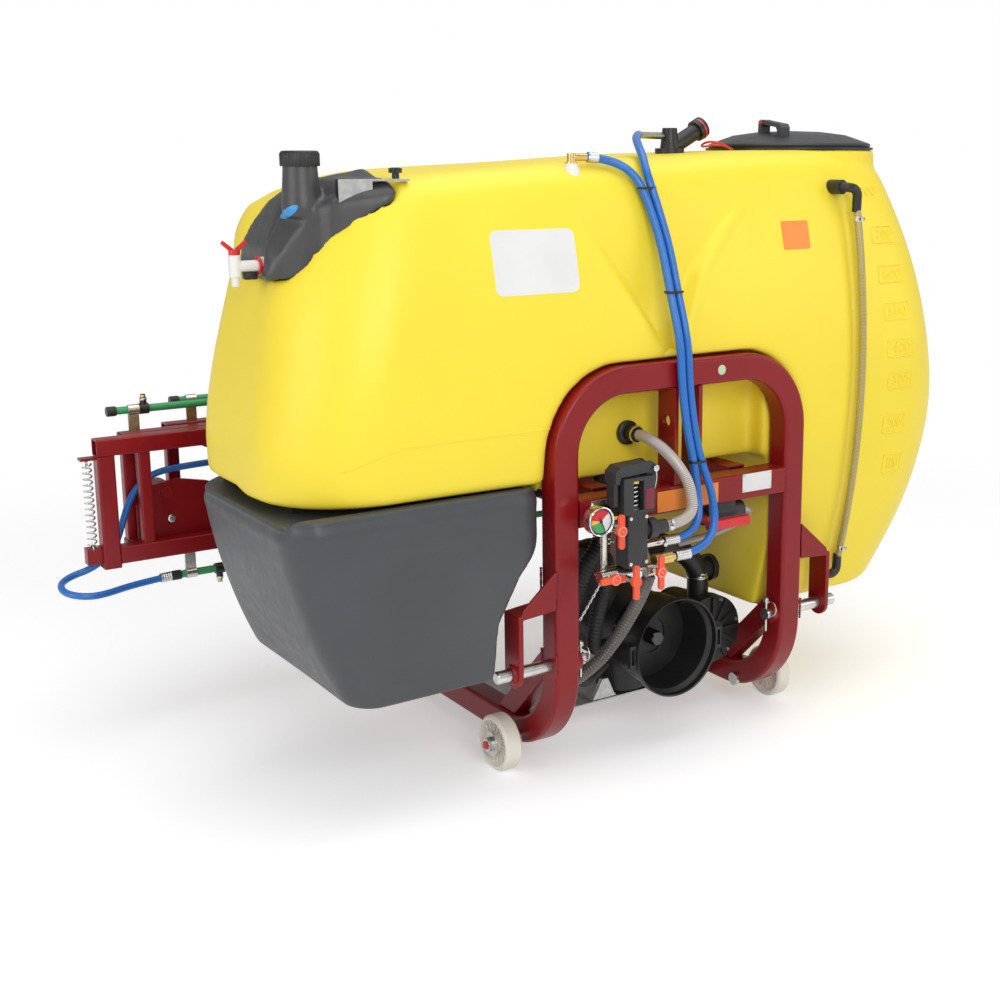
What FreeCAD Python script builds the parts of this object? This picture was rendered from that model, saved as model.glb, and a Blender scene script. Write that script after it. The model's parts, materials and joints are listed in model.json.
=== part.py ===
import FreeCAD, Part
import math
import os

V = FreeCAD.Vector
X = V(1, 0, 0)
Y = V(0, 1, 0)
Z = V(0, 0, 1)

# Sizes are in millimetres. X runs across the machine, Y to the rear, Z up from the floor.
# While it is built, Y is zero at the front face of the bow.

# Bow, legs and skids in one bent square tube
tube = 60.0
tube_wall = 4.0
tube_corner = 9.0
frame_width = 691.4
bow_top = 899.0
bow_bend = 182.0
skid_bend = 205.0
skid_height = 42.0
skid_end = 770.0
half_frame = frame_width / 2
leg_x = half_frame - tube / 2
leg_y = tube / 2
inner_x = half_frame - tube

# Crossbar, top link ears and lower link brackets
crossbar_top = 626.0
crossbar_bottom = crossbar_top - tube
ear_thickness = 10.0
ear_gap = 56.0
top_link_height = 765.0
top_link_bore = 25.5
link_pin_height = 268.0
link_pin_diameter = 28.0
link_pin_reach = 40.0
bracket_gap = 81.6
bracket_plate = 11.0
bracket_top = 400.0
bracket_boss = 6.1
bracket_outer = half_frame + bracket_gap + bracket_plate
static_fit = 0.1

# Braces and rails
brace_width = 40.0
brace_depth = 50.0
rail_x = 190.0
rail_width = 50.0
rear_post_y = 690.0
rear_bar_low = 566.0
rear_bar_high = 1030.0
pump_rail_y = (270.0, 430.0)
pump_rail_width = 40.0
pump_rail_height = 34.0

# Parking wheels
wheel_diameter = 125.0
wheel_width = 40.0
wheel_face = 413.0
front_axle_y = 158.0
rear_axle_y = 690.0
axle_radius = 10.0
running_fit = 0.06
spoke_count = 14

# Main tank
tank_wall = 8.0
lobe_bottom = 258.0
left_lobe_bottom = 674.0
centre_bottom = 640.0
centre_left = -346.0
centre_right = 292.0
top_edge_radius = 80.0
filler_x = 571.0
filler_y = 330.0
collar_radius = 209.0
collar_top = 1342.0
filler_opening = 178.0

# Rinse tank
rinse_bottom = 267.0
rinse_top = 647.0
rinse_wall = 6.0

# Hand wash tank
wash_rise = 3.0
wash_peak = 20.0
wash_sink = 46.0
wash_low = 1098.0
wash_neck_x = -790.0
wash_neck_y = 200.0
neck_radius = 33.0

# Pump and shaft
shaft_height = 238.0
shaft_radius = 17.45
guard_front = 28.0
guard_radius = 115.0
pump_face = 150.0

# Folding boom
boom_tube = 40.0
boom_wall = 3.0
boom_half = 1033.0
boom_front = 850.0
boom_low = 403.0
boom_high = 700.0
wing_pitch = 64.0
wing_pivot_x = 870.0
wing_pivot_z = 550.0
wing_tip = 830.0
wing_tail = 955.0
boom_lift = 580.0
carriage_low = 480.0
carriage_high = 690.0
rear_post_top = carriage_high + boom_lift + 10.0
pipe_radius = 9.0
pipe_height = 352.0


def box(x0, x1, y0, y1, z0, z1):
    return Part.makeBox(x1 - x0, y1 - y0, z1 - z0, V(x0, y0, z0))


def rod(start, end, radius):
    line = end - start
    return Part.makeCylinder(radius, line.Length, start, line)


def ring(start, end, outer, inner):
    return rod(start, end, outer).cut(rod(start, end, inner))


def joined(shapes):
    whole = shapes[0].fuse(shapes[1:]) if len(shapes) > 1 else shapes[0]
    return whole.removeSplitter()


def largest(shape):
    return max(shape.Solids, key=lambda part: part.Volume)


def group(shapes):
    solids = []
    for shape in shapes:
        solids.extend(shape.Solids)
    return Part.makeCompound(solids)


def mirrored(shape):
    return shape.mirror(V(0, 0, 0), X)


def both_sides(shape):
    return group([shape, mirrored(shape)])


def plate(points, direction):
    wire = Part.makePolygon([V(*p) for p in points] + [V(*points[0])])
    return Part.Face(wire).extrude(V(*direction))


def rounded_square(centre, across, normal, side, radius):
    h = side / 2
    flat = Part.makeBox(side, side, 1.0, V(-h, -h, 0))
    edges = [e for e in flat.Edges if abs(e.tangentAt(e.FirstParameter).z) > 0.9]
    soft = flat.makeFillet(radius, edges)
    face = [f for f in soft.Faces if abs(f.CenterOfMass.z) < 1e-6][0].copy()
    other = normal.cross(across)
    matrix = FreeCAD.Matrix(
        across.x, other.x, normal.x, centre.x,
        across.y, other.y, normal.y, centre.y,
        across.z, other.z, normal.z, centre.z,
        0, 0, 0, 1)
    return face.transformGeometry(matrix)


def swept_tube(shapes_for):
    outer = joined(shapes_for(tube, tube_corner))
    inner = joined(shapes_for(tube - 2 * tube_wall, tube_corner - tube_wall))
    return outer, outer.cut(inner)


def route(name, points):
    # Straight runs joined by the largest tangent arcs that fit
    points = [V(*p) for p in points]
    edges = []
    radii = []
    here = points[0]
    for index in range(1, len(points) - 1):
        corner = points[index]
        runs = (corner - points[index - 1]).Length, (points[index + 1] - corner).Length
        before = (corner - points[index - 1]).normalize()
        after = (points[index + 1] - corner).normalize()
        turn = before.getAngle(after)
        radius = 0.45 * min(runs) / math.tan(turn / 2)
        radii.append(round(radius))
        back = radius * math.tan(turn / 2)
        start = corner - before * back
        end = corner + after * back
        inward = (after - before).normalize()
        middle = corner + inward * (radius / math.cos(turn / 2) - radius)
        if (start - here).Length > 0.01:
            edges.append(Part.LineSegment(here, start).toShape())
        edges.append(Part.Arc(start, middle, end).toShape())
        here = end
    edges.append(Part.LineSegment(here, points[-1]).toShape())
    wire = Part.Wire(edges)
    print(name, "bend radii", radii, "length", round(wire.Length))
    return wire


def swept(path, radius):
    edge = path.Edges[0]
    start = edge.valueAt(edge.FirstParameter)
    along = edge.tangentAt(edge.FirstParameter)
    profile = Part.Wire(Part.makeCircle(radius, start, along))
    return path.makePipeShell([profile], True, False)


def hose(path, outer, bore):
    body = swept(path, outer).cut(swept(path, bore))
    section = math.pi * (outer ** 2 - bore ** 2)
    print("volume over section times length", round(body.Volume / section / path.Length, 4))
    return body


def leg_tube_shapes(side, corner):
    skid_z = skid_height + tube / 2
    bend_y = skid_bend
    bend_z = skid_height + skid_bend
    mean = skid_bend - tube / 2
    bow_mean = bow_bend - tube / 2
    skid = rounded_square(V(-leg_x, skid_end, skid_z), X, Y * -1, side, corner)
    skid = skid.extrude(V(0, bend_y - skid_end, 0))
    turn = rounded_square(V(-leg_x, bend_y, skid_z), X, Y * -1, side, corner)
    turn = turn.revolve(V(-leg_x, bend_y, bend_z), X, -90)
    leg = rounded_square(V(-leg_x, leg_y, bend_z), X, Z, side, corner)
    leg = leg.extrude(V(0, 0, bow_top - bow_bend - bend_z))
    top_z = bow_top - bow_bend
    shoulder = rounded_square(V(-leg_x, leg_y, top_z), X, Z, side, corner)
    shoulder = shoulder.revolve(V(-leg_x + bow_mean, leg_y, top_z), Y, 90)
    bar = rounded_square(V(-leg_x + bow_mean, leg_y, bow_top - tube / 2), Y, X, side, corner)
    bar = bar.extrude(V(leg_x - bow_mean, 0, 0))
    half = [skid, turn, leg, shoulder, bar]
    return half + [mirrored(s) for s in half]


def make_bow():
    outer, hollow = swept_tube(leg_tube_shapes)
    pin_hole = link_pin_diameter / 2 + static_fit
    axle_hole = axle_radius + static_fit
    for side in (-1, 1):
        boss = ring(V(side * inner_x, leg_y, link_pin_height),
                    V(side * (inner_x - 12), leg_y, link_pin_height), 23, pin_hole)
        hollow = hollow.fuse(boss)
        hole = rod(V(side * (inner_x - 20), leg_y, link_pin_height),
                   V(side * (half_frame + 5), leg_y, link_pin_height), pin_hole)
        hollow = hollow.cut(hole)
        for axle_y in (front_axle_y, rear_axle_y):
            hole = rod(V(side * (inner_x - 5), axle_y, wheel_diameter / 2),
                       V(side * (half_frame + 5), axle_y, wheel_diameter / 2), axle_hole)
            hollow = hollow.cut(hole)
    return outer, hollow


def square_bar(x0, x1, y0, y1, z0, z1, wall):
    # Hollow along its longest side
    outer = box(x0, x1, y0, y1, z0, z1)
    spans = [x1 - x0, y1 - y0, z1 - z0]
    longest = spans.index(max(spans))
    low = [x0 + wall, y0 + wall, z0 + wall]
    high = [x1 - wall, y1 - wall, z1 - wall]
    low[longest] = (x0, y0, z0)[longest] - 1
    high[longest] = (x1, y1, z1)[longest] + 1
    edges = [e for e in outer.Edges if abs(e.tangentAt(e.FirstParameter)[longest]) > 0.9]
    outer = outer.makeFillet(min(6.0, wall * 1.5), edges)
    return outer.cut(box(low[0], high[0], low[1], high[1], low[2], high[2]))


def make_crossbar():
    return square_bar(-inner_x, inner_x, 0, tube, crossbar_bottom, crossbar_top, tube_wall)


def make_ears():
    hole = rod(V(-100, leg_y, top_link_height), V(100, leg_y, top_link_height), top_link_bore / 2)
    inner = ear_gap / 2
    ear = box(inner, inner + ear_thickness, 0, tube, crossbar_top, bow_top - tube)
    return both_sides(ear.cut(hole))


def make_bracket():
    radius = tube / 2
    outer = bracket_outer
    side = box(outer - bracket_plate, outer, 0, tube, link_pin_height, bracket_top)
    foot = rod(V(outer - bracket_plate, leg_y, link_pin_height),
               V(outer, leg_y, link_pin_height), radius)
    roof = plate([(half_frame, 0, bracket_top - 2), (outer, 0, bracket_top - 10),
                  (outer, 0, bracket_top), (half_frame, 0, bracket_top + 9)], (0, tube, 0))
    web = plate([(half_frame, 0, bracket_top + 5), (outer - 6, 0, bracket_top - 4),
                 (outer - 12, 0, bracket_top + 12), (half_frame, 0, bracket_top + 82)], (0, 8, 0))
    boss = ring(V(outer, leg_y, link_pin_height), V(outer + bracket_boss - 0.1, leg_y,
                link_pin_height), 21, link_pin_diameter / 2)
    hole = rod(V(half_frame, leg_y, link_pin_height), V(outer + 20, leg_y, link_pin_height),
               link_pin_diameter / 2 + static_fit)
    return joined([side, foot, roof, web, boss]).cut(hole)


def make_link_pin():
    # The free end is a little thicker than the part in the bores
    tip = bracket_outer + link_pin_reach
    step = bracket_outer + bracket_boss
    inner = rod(V(inner_x - 26, leg_y, link_pin_height), V(step, leg_y, link_pin_height),
                link_pin_diameter / 2 - 0.05)
    stub = rod(V(step, leg_y, link_pin_height), V(tip, leg_y, link_pin_height),
               link_pin_diameter / 2)
    body = inner.fuse(stub)
    end = [e for e in body.Edges if abs(e.CenterOfMass.x - tip) < 0.5 and e.Closed]
    body = body.makeChamfer(3.0, end)
    hole = rod(V(inner_x - 20, leg_y, link_pin_height - 20),
               V(inner_x - 20, leg_y, link_pin_height + 20), 3.0 + static_fit)
    return body.cut(hole)


def make_split_pin():
    x = inner_x - 20
    stem = rod(V(x, leg_y, link_pin_height - 44), V(x, leg_y, link_pin_height + 24), 3.0)
    head = Part.makeTorus(7, 2.5, V(x, leg_y, link_pin_height + 31), Y)
    return joined([stem, head])


def make_brace(tube_outer):
    centre_y = skid_bend
    centre_z = skid_height + skid_bend
    away = 87.0
    along = V(0, 1, -1).normalize()
    normal = V(0, -1, -1).normalize()
    middle = V(-leg_x, centre_y, centre_z) + normal * away
    start = middle - along * 200
    half = brace_depth / 2
    corners = []
    for a, b in ((0, -half), (400, -half), (400, half), (0, half)):
        p = start + along * a + normal * b
        corners.append((-leg_x - brace_width / 2, p.y, p.z))
    solid = plate(corners, (brace_width, 0, 0))
    keep = box(-leg_x - 40, -leg_x + 40, tube - 2, centre_y + 90, skid_height + tube - 2, 420)
    return solid.common(keep).cut(tube_outer).Solids[0]


def make_tank_rails():
    rail = square_bar(rail_x - rail_width / 2, rail_x + rail_width / 2, tube,
                      rear_post_y - tube / 2, crossbar_bottom, centre_bottom - 8, tube_wall)
    shelf = box(leg_x + brace_width / 2, half_frame + 60, tube + 6, 150, lobe_bottom - 8.3,
                lobe_bottom - 0.3)
    return rail, shelf


def make_left_arm(y):
    # Stepped arm from the left rail, over the rinse tank and under the left lobe
    root = -rail_x - rail_width / 2
    rise = centre_left - 0.4
    low = box(rise - 9.8, root, y, y + 60, 604, centre_bottom - 8)
    riser = box(rise - 9.8, rise, y, y + 60, 604, left_lobe_bottom - 0.3)
    arm = box(-855, rise, y, y + 60, rinse_top + 0.3, left_lobe_bottom - 0.3)
    return joined([low, riser, arm])


def make_pump_rails():
    bars = []
    for y in pump_rail_y:
        bars.append(square_bar(-inner_x, inner_x, y, y + pump_rail_width, skid_height,
                               skid_height + pump_rail_height, 3.0))
    return group(bars)


def make_rear_frame():
    y0 = rear_post_y - tube / 2
    y1 = rear_post_y + tube / 2
    base = skid_height + tube
    post = square_bar(-half_frame, -inner_x, y0, y1, base, rear_post_top, tube_wall)
    low = square_bar(-inner_x, inner_x, y0, y1 - 10, rear_bar_low, rear_bar_low + 60, tube_wall)
    high = square_bar(-inner_x, inner_x, y0, y1 - 10, rear_bar_high, rear_bar_high + 60, tube_wall)
    return group([post, mirrored(post)]), group([low, high])


def make_axle(y):
    z = wheel_diameter / 2
    hub = 22.0
    middle = wheel_face - wheel_width / 2
    bolt = rod(V(inner_x - 10, y, z), V(middle + hub + 15, y, z), axle_radius)
    spacer = rod(V(half_frame, y, z), V(middle - hub - 0.3, y, z), 15)
    washer = rod(V(middle + hub + 0.3, y, z), V(middle + hub + 3.3, y, z), 28)
    nut = rod(V(middle + hub + 3.3, y, z), V(middle + hub + 15, y, z), 16)
    head = rod(V(inner_x - 10, y, z), V(inner_x, y, z), 16)
    return joined([bolt, spacer, washer, nut, head])


def make_wheel(side, y):
    z = wheel_diameter / 2
    radius = wheel_diameter / 2
    half = wheel_width / 2
    hub = 22.0
    points = [(axle_radius + running_fit, -hub), (20, -hub), (24, -6), (48, -6), (52, -half),
              (radius - 5, -half), (radius, -half + 5), (radius, half - 5), (radius - 5, half),
              (52, half), (48, 6), (24, 6), (20, hub), (axle_radius + running_fit, hub)]
    wire = Part.makePolygon([V(a, r, 0) for r, a in points] + [V(points[0][1], points[0][0], 0)])
    wheel = Part.Face(wire).revolve(V(0, 0, 0), X, 360)
    ribs = []
    for index in range(spoke_count):
        rib = box(-13, 13, 21, 50.5, -1.6, 1.6)
        rib.rotate(V(0, 36, 0), X, 18)
        rib.rotate(V(0, 0, 0), X, index * 360.0 / spoke_count)
        ribs.append(rib)
    wheel = joined([wheel] + ribs)
    wheel.translate(V(side * (wheel_face - half), y, z))
    return wheel


# Outer form of the tanks as rounded level sections
tank_levels = ((258, 792, 108, 590), (400, 851, 72, 612), (560, 896, 40, 626),
               (740, 910, 21, 630), (940, 880, 23, 626), (1150, 824, 57, 606),
               (1370, 718, 120, 566))
crown_line = ((-960, 1238), (-700, 1281), (-560, 1296), (-250, 1315), (0, 1328),
              (250, 1338), (430, 1341), (600, 1331), (800, 1290), (960, 1248))
wash_plan = ((-1100, 300), (-850, 213), (-800, 171), (-740, 134), (-690, 113), (-640, 101),
             (-640, 262), (-780, 322), (-826, 405), (-1100, 500))


def level_wire(z, left, right, front, back, front_radius, back_radius):
    def corner(cx, cy, radius, start):
        points = []
        for angle in (start, start + 45, start + 90):
            a = math.radians(angle)
            points.append(V(cx + radius * math.cos(a), cy + radius * math.sin(a), z))
        return points
    corners = [corner(right - front_radius, front + front_radius, front_radius, -90),
               corner(right - back_radius, back - back_radius, back_radius, 0),
               corner(left + back_radius, back - back_radius, back_radius, 90),
               corner(left + front_radius, front + front_radius, front_radius, 180)]
    edges = []
    for index in range(4):
        a, b, c = corners[index]
        edges.append(Part.Arc(a, b, c).toShape())
        following = corners[(index + 1) % 4][0]
        edges.append(Part.LineSegment(c, following).toShape())
    return Part.Wire(edges)


def tank_form(grow):
    wires = []
    last = len(tank_levels) - 1
    for index, (z, half, front, back) in enumerate(tank_levels):
        if index == 0:
            z -= grow
        if index == last:
            z += grow
        wires.append(level_wire(z, -half - grow, half + grow, front - grow, back + grow,
                                210.0 + grow, 190.0 + grow))
    body = Part.makeLoft(wires, True, False)
    line = Part.BSplineCurve()
    line.interpolate([V(x, -100, z + grow) for x, z in crown_line])
    top = line.toShape()
    first = V(crown_line[0][0], -100, crown_line[0][1] + grow)
    final = V(crown_line[-1][0], -100, crown_line[-1][1] + grow)
    low_final = V(final.x, -100, 100)
    low_first = V(first.x, -100, 100)
    wire = Part.Wire([top, Part.LineSegment(final, low_final).toShape(),
                      Part.LineSegment(low_final, low_first).toShape(),
                      Part.LineSegment(low_first, first).toShape()])
    under = Part.Face(wire).extrude(V(0, 900, 0))
    body = body.common(under).Solids[0]
    top_faces = [f for f in body.Faces if f.BoundBox.ZMin > 1150 and f.BoundBox.XLength > 900
                 and f.BoundBox.YLength > 300]
    edges = top_faces[0].OuterWire.Edges
    return body.makeFillet(top_edge_radius + grow, edges)


def bow_recess(grow):
    clear = 4.0
    half = half_frame + clear
    top = bow_top + clear
    recess = box(-half, half, -100, tube + clear, 100, top)
    edges = [e for e in recess.Edges if abs(e.CenterOfMass.z - top) < 1e-6
             and abs(abs(e.CenterOfMass.x) - half) < 1e-6]
    recess = recess.makeFillet(bow_bend, edges)
    inside = box(-inner_x + 14, inner_x - 14, -100, 112, 100, bow_top - tube - 14)
    both = recess.fuse(inside)
    if grow:
        wide = box(-half - grow, half + grow, -100, tube + clear + grow, 100, top + grow)
        edges = [e for e in wide.Edges if abs(e.CenterOfMass.z - top - grow) < 1e-6
                 and abs(abs(e.CenterOfMass.x) - half - grow) < 1e-6]
        wide = wide.makeFillet(bow_bend, edges)
        room = box(-inner_x + 14 - grow, inner_x - 14 + grow, -100, 112 + grow, 100,
                   bow_top - tube - 14 + grow)
        both = wide.fuse(room)
    return both


def lower_cut(grow):
    left = box(-1100, centre_left + grow, -200, 900, 100, left_lobe_bottom + grow)
    centre = box(centre_left - 5, centre_right + grow, -200, 900, 100, centre_bottom + grow)
    return left.fuse(centre)


def wash_space(grow):
    low = wash_low - grow
    corners = [V(x, y, low) for x, y in wash_plan]
    plan = Part.Face(Part.makePolygon(corners + [corners[0]]))
    if grow:
        plan = plan.makeOffset2D(grow, join=2)
    return plan.extrude(V(0, 0, 1500 - low))


def make_main_tank():
    outer = tank_form(0)
    channel_floor = tank_form(-wash_sink)
    outer = outer.cut(lower_cut(0)).cut(bow_recess(0))
    outer = outer.cut(wash_space(1.0).cut(channel_floor))
    inner = tank_form(-tank_wall)
    deeper = tank_form(-wash_sink - tank_wall)
    inner = inner.cut(lower_cut(tank_wall)).cut(bow_recess(tank_wall))
    inner = inner.cut(wash_space(1.0 + tank_wall).cut(deeper))
    collar = rod(V(filler_x, filler_y, 1240), V(filler_x, filler_y, collar_top), collar_radius)
    mouth = rod(V(filler_x, filler_y, 1230), V(filler_x, filler_y, collar_top + 5),
                collar_radius - tank_wall)
    shell = outer.fuse(collar).cut(inner.Solids[0]).cut(mouth)
    return largest(shell)


def wash_form(grow):
    # Low at its front edge, rising to a ridge at mid depth and towards the filler
    low = tank_form(wash_rise + grow)
    high = tank_form(wash_peak + grow)
    slope = plate([(-1100, -100, 1052 + grow), (-600, -100, 1218.5 + grow), (-600, -100, 600),
                   (-1100, -100, 600)], (0, 346 + grow, (346 + grow) * 0.31))
    return low.fuse(high.common(slope))


def make_wash_tank():
    outer = wash_form(0).common(wash_space(0)).cut(tank_form(-wash_sink + 1.0))
    neck = rod(V(wash_neck_x, wash_neck_y, 1215), V(wash_neck_x, wash_neck_y, 1334.2), neck_radius)
    foot = Part.makeCone(neck_radius + 6, neck_radius, 80, V(wash_neck_x, wash_neck_y, 1226), Z)
    outer = outer.fuse([neck, foot])
    inner = wash_form(-4).common(wash_space(-4.0)).cut(tank_form(-wash_sink + 5.0))
    bore = rod(V(wash_neck_x, wash_neck_y, 1220), V(wash_neck_x, wash_neck_y, 1340),
               neck_radius - 4)
    shell = outer.cut(inner).cut(bore)
    return largest(shell)


def rinse_form(grow):
    levels = ((rinse_bottom - grow, -797, 14, 600, 60, 90),
              (460, -880, 8, 618, 75, 150),
              (rinse_top + grow, -923, 8, 630, 85, 190))
    wires = []
    for z, left, front, back, front_radius, back_radius in levels:
        wires.append(level_wire(z, left - grow, -350 + grow, front - grow, back + grow,
                                front_radius + grow, back_radius + grow))
    body = Part.makeLoft(wires, True, False)
    step = plate([(-358 + grow, -50, 700), (-366 + grow, -50, 551), (-373 + grow, -50, 531),
                  (-418 + grow, -50, 489), (-477 + grow, -50, 386), (-490 + grow, -50, 200),
                  (-200, -50, 200), (-200, -50, 700)], (0, 800, 0))
    return body.cut(step)


def make_rinse_tank():
    shell = rinse_form(0).cut(rinse_form(-rinse_wall))
    neck = ring(V(-650, 590, 560), V(-650, 662, 560), 46, 40)
    hole = rod(V(-650, 560, 560), V(-650, 670, 560), 40)
    shell = shell.fuse(neck.cut(rinse_form(-rinse_wall))).cut(hole)
    return largest(shell)


# Tank fittings, lids and the hand wash set
cap_radius = neck_radius + 5.0
lid_radius = 199.0
ring_top = collar_top + 6.0
hinge_y = filler_y + collar_radius + 14.0
hinge_z = ring_top + 2.0
strap_x = -742.0
strap_y = 141.2
strap_turn = -11.5
strap_top = 1286.0
strap_length = 139.0
strap_width = 20.0
knob_along = 114.0
knob_radius = 13.5
knob_stem = 5.0
star_x = strap_x + knob_along * math.cos(math.radians(strap_turn))
star_y = strap_y + knob_along * math.sin(math.radians(strap_turn))
tap_x = -905.0
tap_y = 262.0
tap_z = 1122.0


def turned(profile, centre, axis):
    # Profile as radius and height pairs, turned about an upright axis and then laid along axis
    points = [V(r, 0, h) for r, h in profile]
    wire = Part.makePolygon(points + [points[0]])
    solid = Part.Face(wire).revolve(V(0, 0, 0), Z, 360)
    solid.Placement = FreeCAD.Placement(centre, FreeCAD.Rotation(Z, axis))
    return solid


def make_filler_ring():
    centre = V(filler_x, filler_y, 0)
    inner = collar_radius - tank_wall
    low = collar_top - 60
    profile = [(filler_opening, low), (inner - 0.3, low), (inner - 0.3, collar_top + 0.3),
               (collar_radius - 2, collar_top + 0.3), (collar_radius - 2, ring_top),
               (filler_opening, ring_top)]
    body = turned(profile, centre, Z)
    lugs = []
    for x in (filler_x - 34, filler_x + 22):
        lug = box(x, x + 12, filler_y + lid_radius + 4, hinge_y + 10, collar_top + 0.6, hinge_z + 9)
        lugs.append(lug)
    pin = rod(V(filler_x - 36, hinge_y, hinge_z), V(filler_x + 36, hinge_y, hinge_z), 4)
    return joined([body] + lugs + [pin])


def make_basket():
    centre = V(filler_x, filler_y, 0)
    outer = filler_opening - 1.0
    profile = [(outer - 4, 1316), (outer + 0.5, 1316), (outer + 0.5, 1320), (outer, 1320),
               (outer, ring_top - 8), (outer - 30, ring_top - 8), (outer - 30, ring_top - 12),
               (outer - 4, ring_top - 12)]
    lip = turned(profile, centre, Z)
    cup = [(0, 1180), (150, 1180), (outer - 26, ring_top - 12), (outer - 29, ring_top - 12),
           (147, 1183), (0, 1183)]
    basket = turned(cup, centre, Z)
    return joined([lip, basket])


def lid_grip(base):
    # Arch off the lid's middle, seen end on from the front
    arch = [(0, 14), (-2, 46), (5, 55), (97, 67), (105, 61), (107, 30)]
    gap = [(17, 10), (17, 40), (23, 47.5), (84, 56), (90, 50), (90, 10)]
    start = V(filler_x - 106, filler_y - 102, base)
    solids = []
    for outline, half in ((arch, 12.5), (gap, 14)):
        points = [(start.x - half, start.y + along, base + up) for along, up in outline]
        solids.append(plate(points, (2 * half, 0, 0)))
    grip = solids[0].cut(solids[1])
    grip.rotate(start, Z, -11)
    return grip


def make_lid():
    centre = V(filler_x, filler_y, 0)
    base = ring_top + 0.3
    profile = [(0, base + 3), (lid_radius - 8, base + 3), (lid_radius - 8, base),
               (lid_radius, base), (lid_radius + 2, base + 5), (lid_radius, base + 9),
               (lid_radius - 14, base + 14), (lid_radius - 60, base + 30),
               (lid_radius - 120, base + 38), (0, base + 41)]
    body = turned(profile, centre, Z)
    grip = lid_grip(base)
    neck = box(filler_x - 20, filler_x + 20, filler_y + 190, hinge_y + 6, base + 1, hinge_z + 8)
    hole = rod(V(filler_x - 40, hinge_y, hinge_z), V(filler_x + 40, hinge_y, hinge_z), 4.06)
    return joined([body, grip, neck]).cut(hole)


def make_wash_cap():
    centre = V(wash_neck_x, wash_neck_y, 0)
    inner = neck_radius + 0.6
    profile = [(0, 1334.5), (inner, 1334.5), (inner, 1310.0), (cap_radius, 1310.0),
               (cap_radius, 1336), (cap_radius - 3, 1339), (0, 1339)]
    return turned(profile, centre, Z)


def make_strap():
    # Folded strip whose web stands on the hand wash tank, its far end over the main tank
    half = strap_width / 2
    under = strap_top - 4
    strip = box(0, strap_length, -half, half, under, strap_top)
    web = box(0, 66, -half, 3 - half, 1240, under)
    block = box(0, 12, -half, half, 1240, under)
    bar = joined([strip, web, block])
    bar.rotate(V(0, 0, 0), Z, strap_turn)
    bar.translate(V(strap_x, strap_y, 0))
    bed = wash_form(0.3).common(box(-1000, -639, 0, 400, 1100, 1400))
    solid = largest(bar.cut(bed).cut(tank_seat))
    hole = rod(V(star_x, star_y, 1250), V(star_x, star_y, 1310), knob_stem + running_fit)
    return solid.cut(hole)


def make_star_knob():
    centre = V(star_x, star_y, strap_top)
    stem = rod(centre - Z * 3.5, centre + Z * 12, knob_stem)
    collar = rod(centre + Z * 0.3, centre + Z * 12, knob_stem + 2)
    hub = rod(centre + Z * 11, centre + Z * 21, knob_radius - 4.5)
    arms = []
    for index in range(5):
        angle = math.radians(72 * index)
        away = V(math.cos(angle), math.sin(angle), 0) * (knob_radius - 4.8)
        arms.append(rod(centre + away + Z * 11, centre + away + Z * 20, 4.8))
    return joined([stem, collar, hub] + arms)


def make_tap():
    barrel = rod(V(tap_x, tap_y, tap_z), V(tap_x + 70, tap_y, tap_z), 11)
    flange = rod(V(tap_x + 48, tap_y, tap_z), V(tap_x + 70, tap_y, tap_z), 17)
    seat = wash_form(0.3)
    barrel = largest(barrel.fuse(flange).cut(seat))
    body = rod(V(tap_x, tap_y, tap_z - 20), V(tap_x, tap_y, tap_z + 22), 12)
    spout = rod(V(tap_x, tap_y, tap_z - 38), V(tap_x, tap_y, tap_z - 18), 8)
    bore = rod(V(tap_x, tap_y, tap_z - 40), V(tap_x, tap_y, tap_z - 10), 5)
    socket = rod(V(tap_x, tap_y, tap_z + 8), V(tap_x, tap_y, tap_z + 30), 5.06)
    return joined([barrel, body, spout]).cut(bore).cut(socket)


def make_tap_handle():
    stem = rod(V(tap_x, tap_y, tap_z + 9), V(tap_x, tap_y, tap_z + 30), 5)
    hub = rod(V(tap_x, tap_y, tap_z + 22.4), V(tap_x, tap_y, tap_z + 32), 11)
    wings = []
    for side in (-1, 1):
        wing = plate([(tap_x + side * 4, tap_y - 3, tap_z + 24),
                      (tap_x + side * 26, tap_y - 3, tap_z + 44),
                      (tap_x + side * 22, tap_y - 3, tap_z + 50),
                      (tap_x + side * 2, tap_y - 3, tap_z + 34)], (0, 6, 0))
        wings.append(wing)
    return joined([stem, hub] + wings)


level_x = 526.0
level_top = 1214.0
level_low = 352.0


def level_arc():
    start = V(level_x, 42, level_top)
    end = V(level_x, 64, level_low)
    return Part.Wire([Part.Arc(start, V(level_x, 4, 800), end).toShape()])


def make_level_tube():
    return hose(level_arc(), 9.0, 6.5)


def level_clamp(share):
    edge = level_arc().Edges[0]
    at = edge.FirstParameter + share * (edge.LastParameter - edge.FirstParameter)
    middle = edge.valueAt(at)
    along = edge.tangentAt(at)
    return ring(middle - along * 6, middle + along * 6, 12.5, 9.3)


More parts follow.
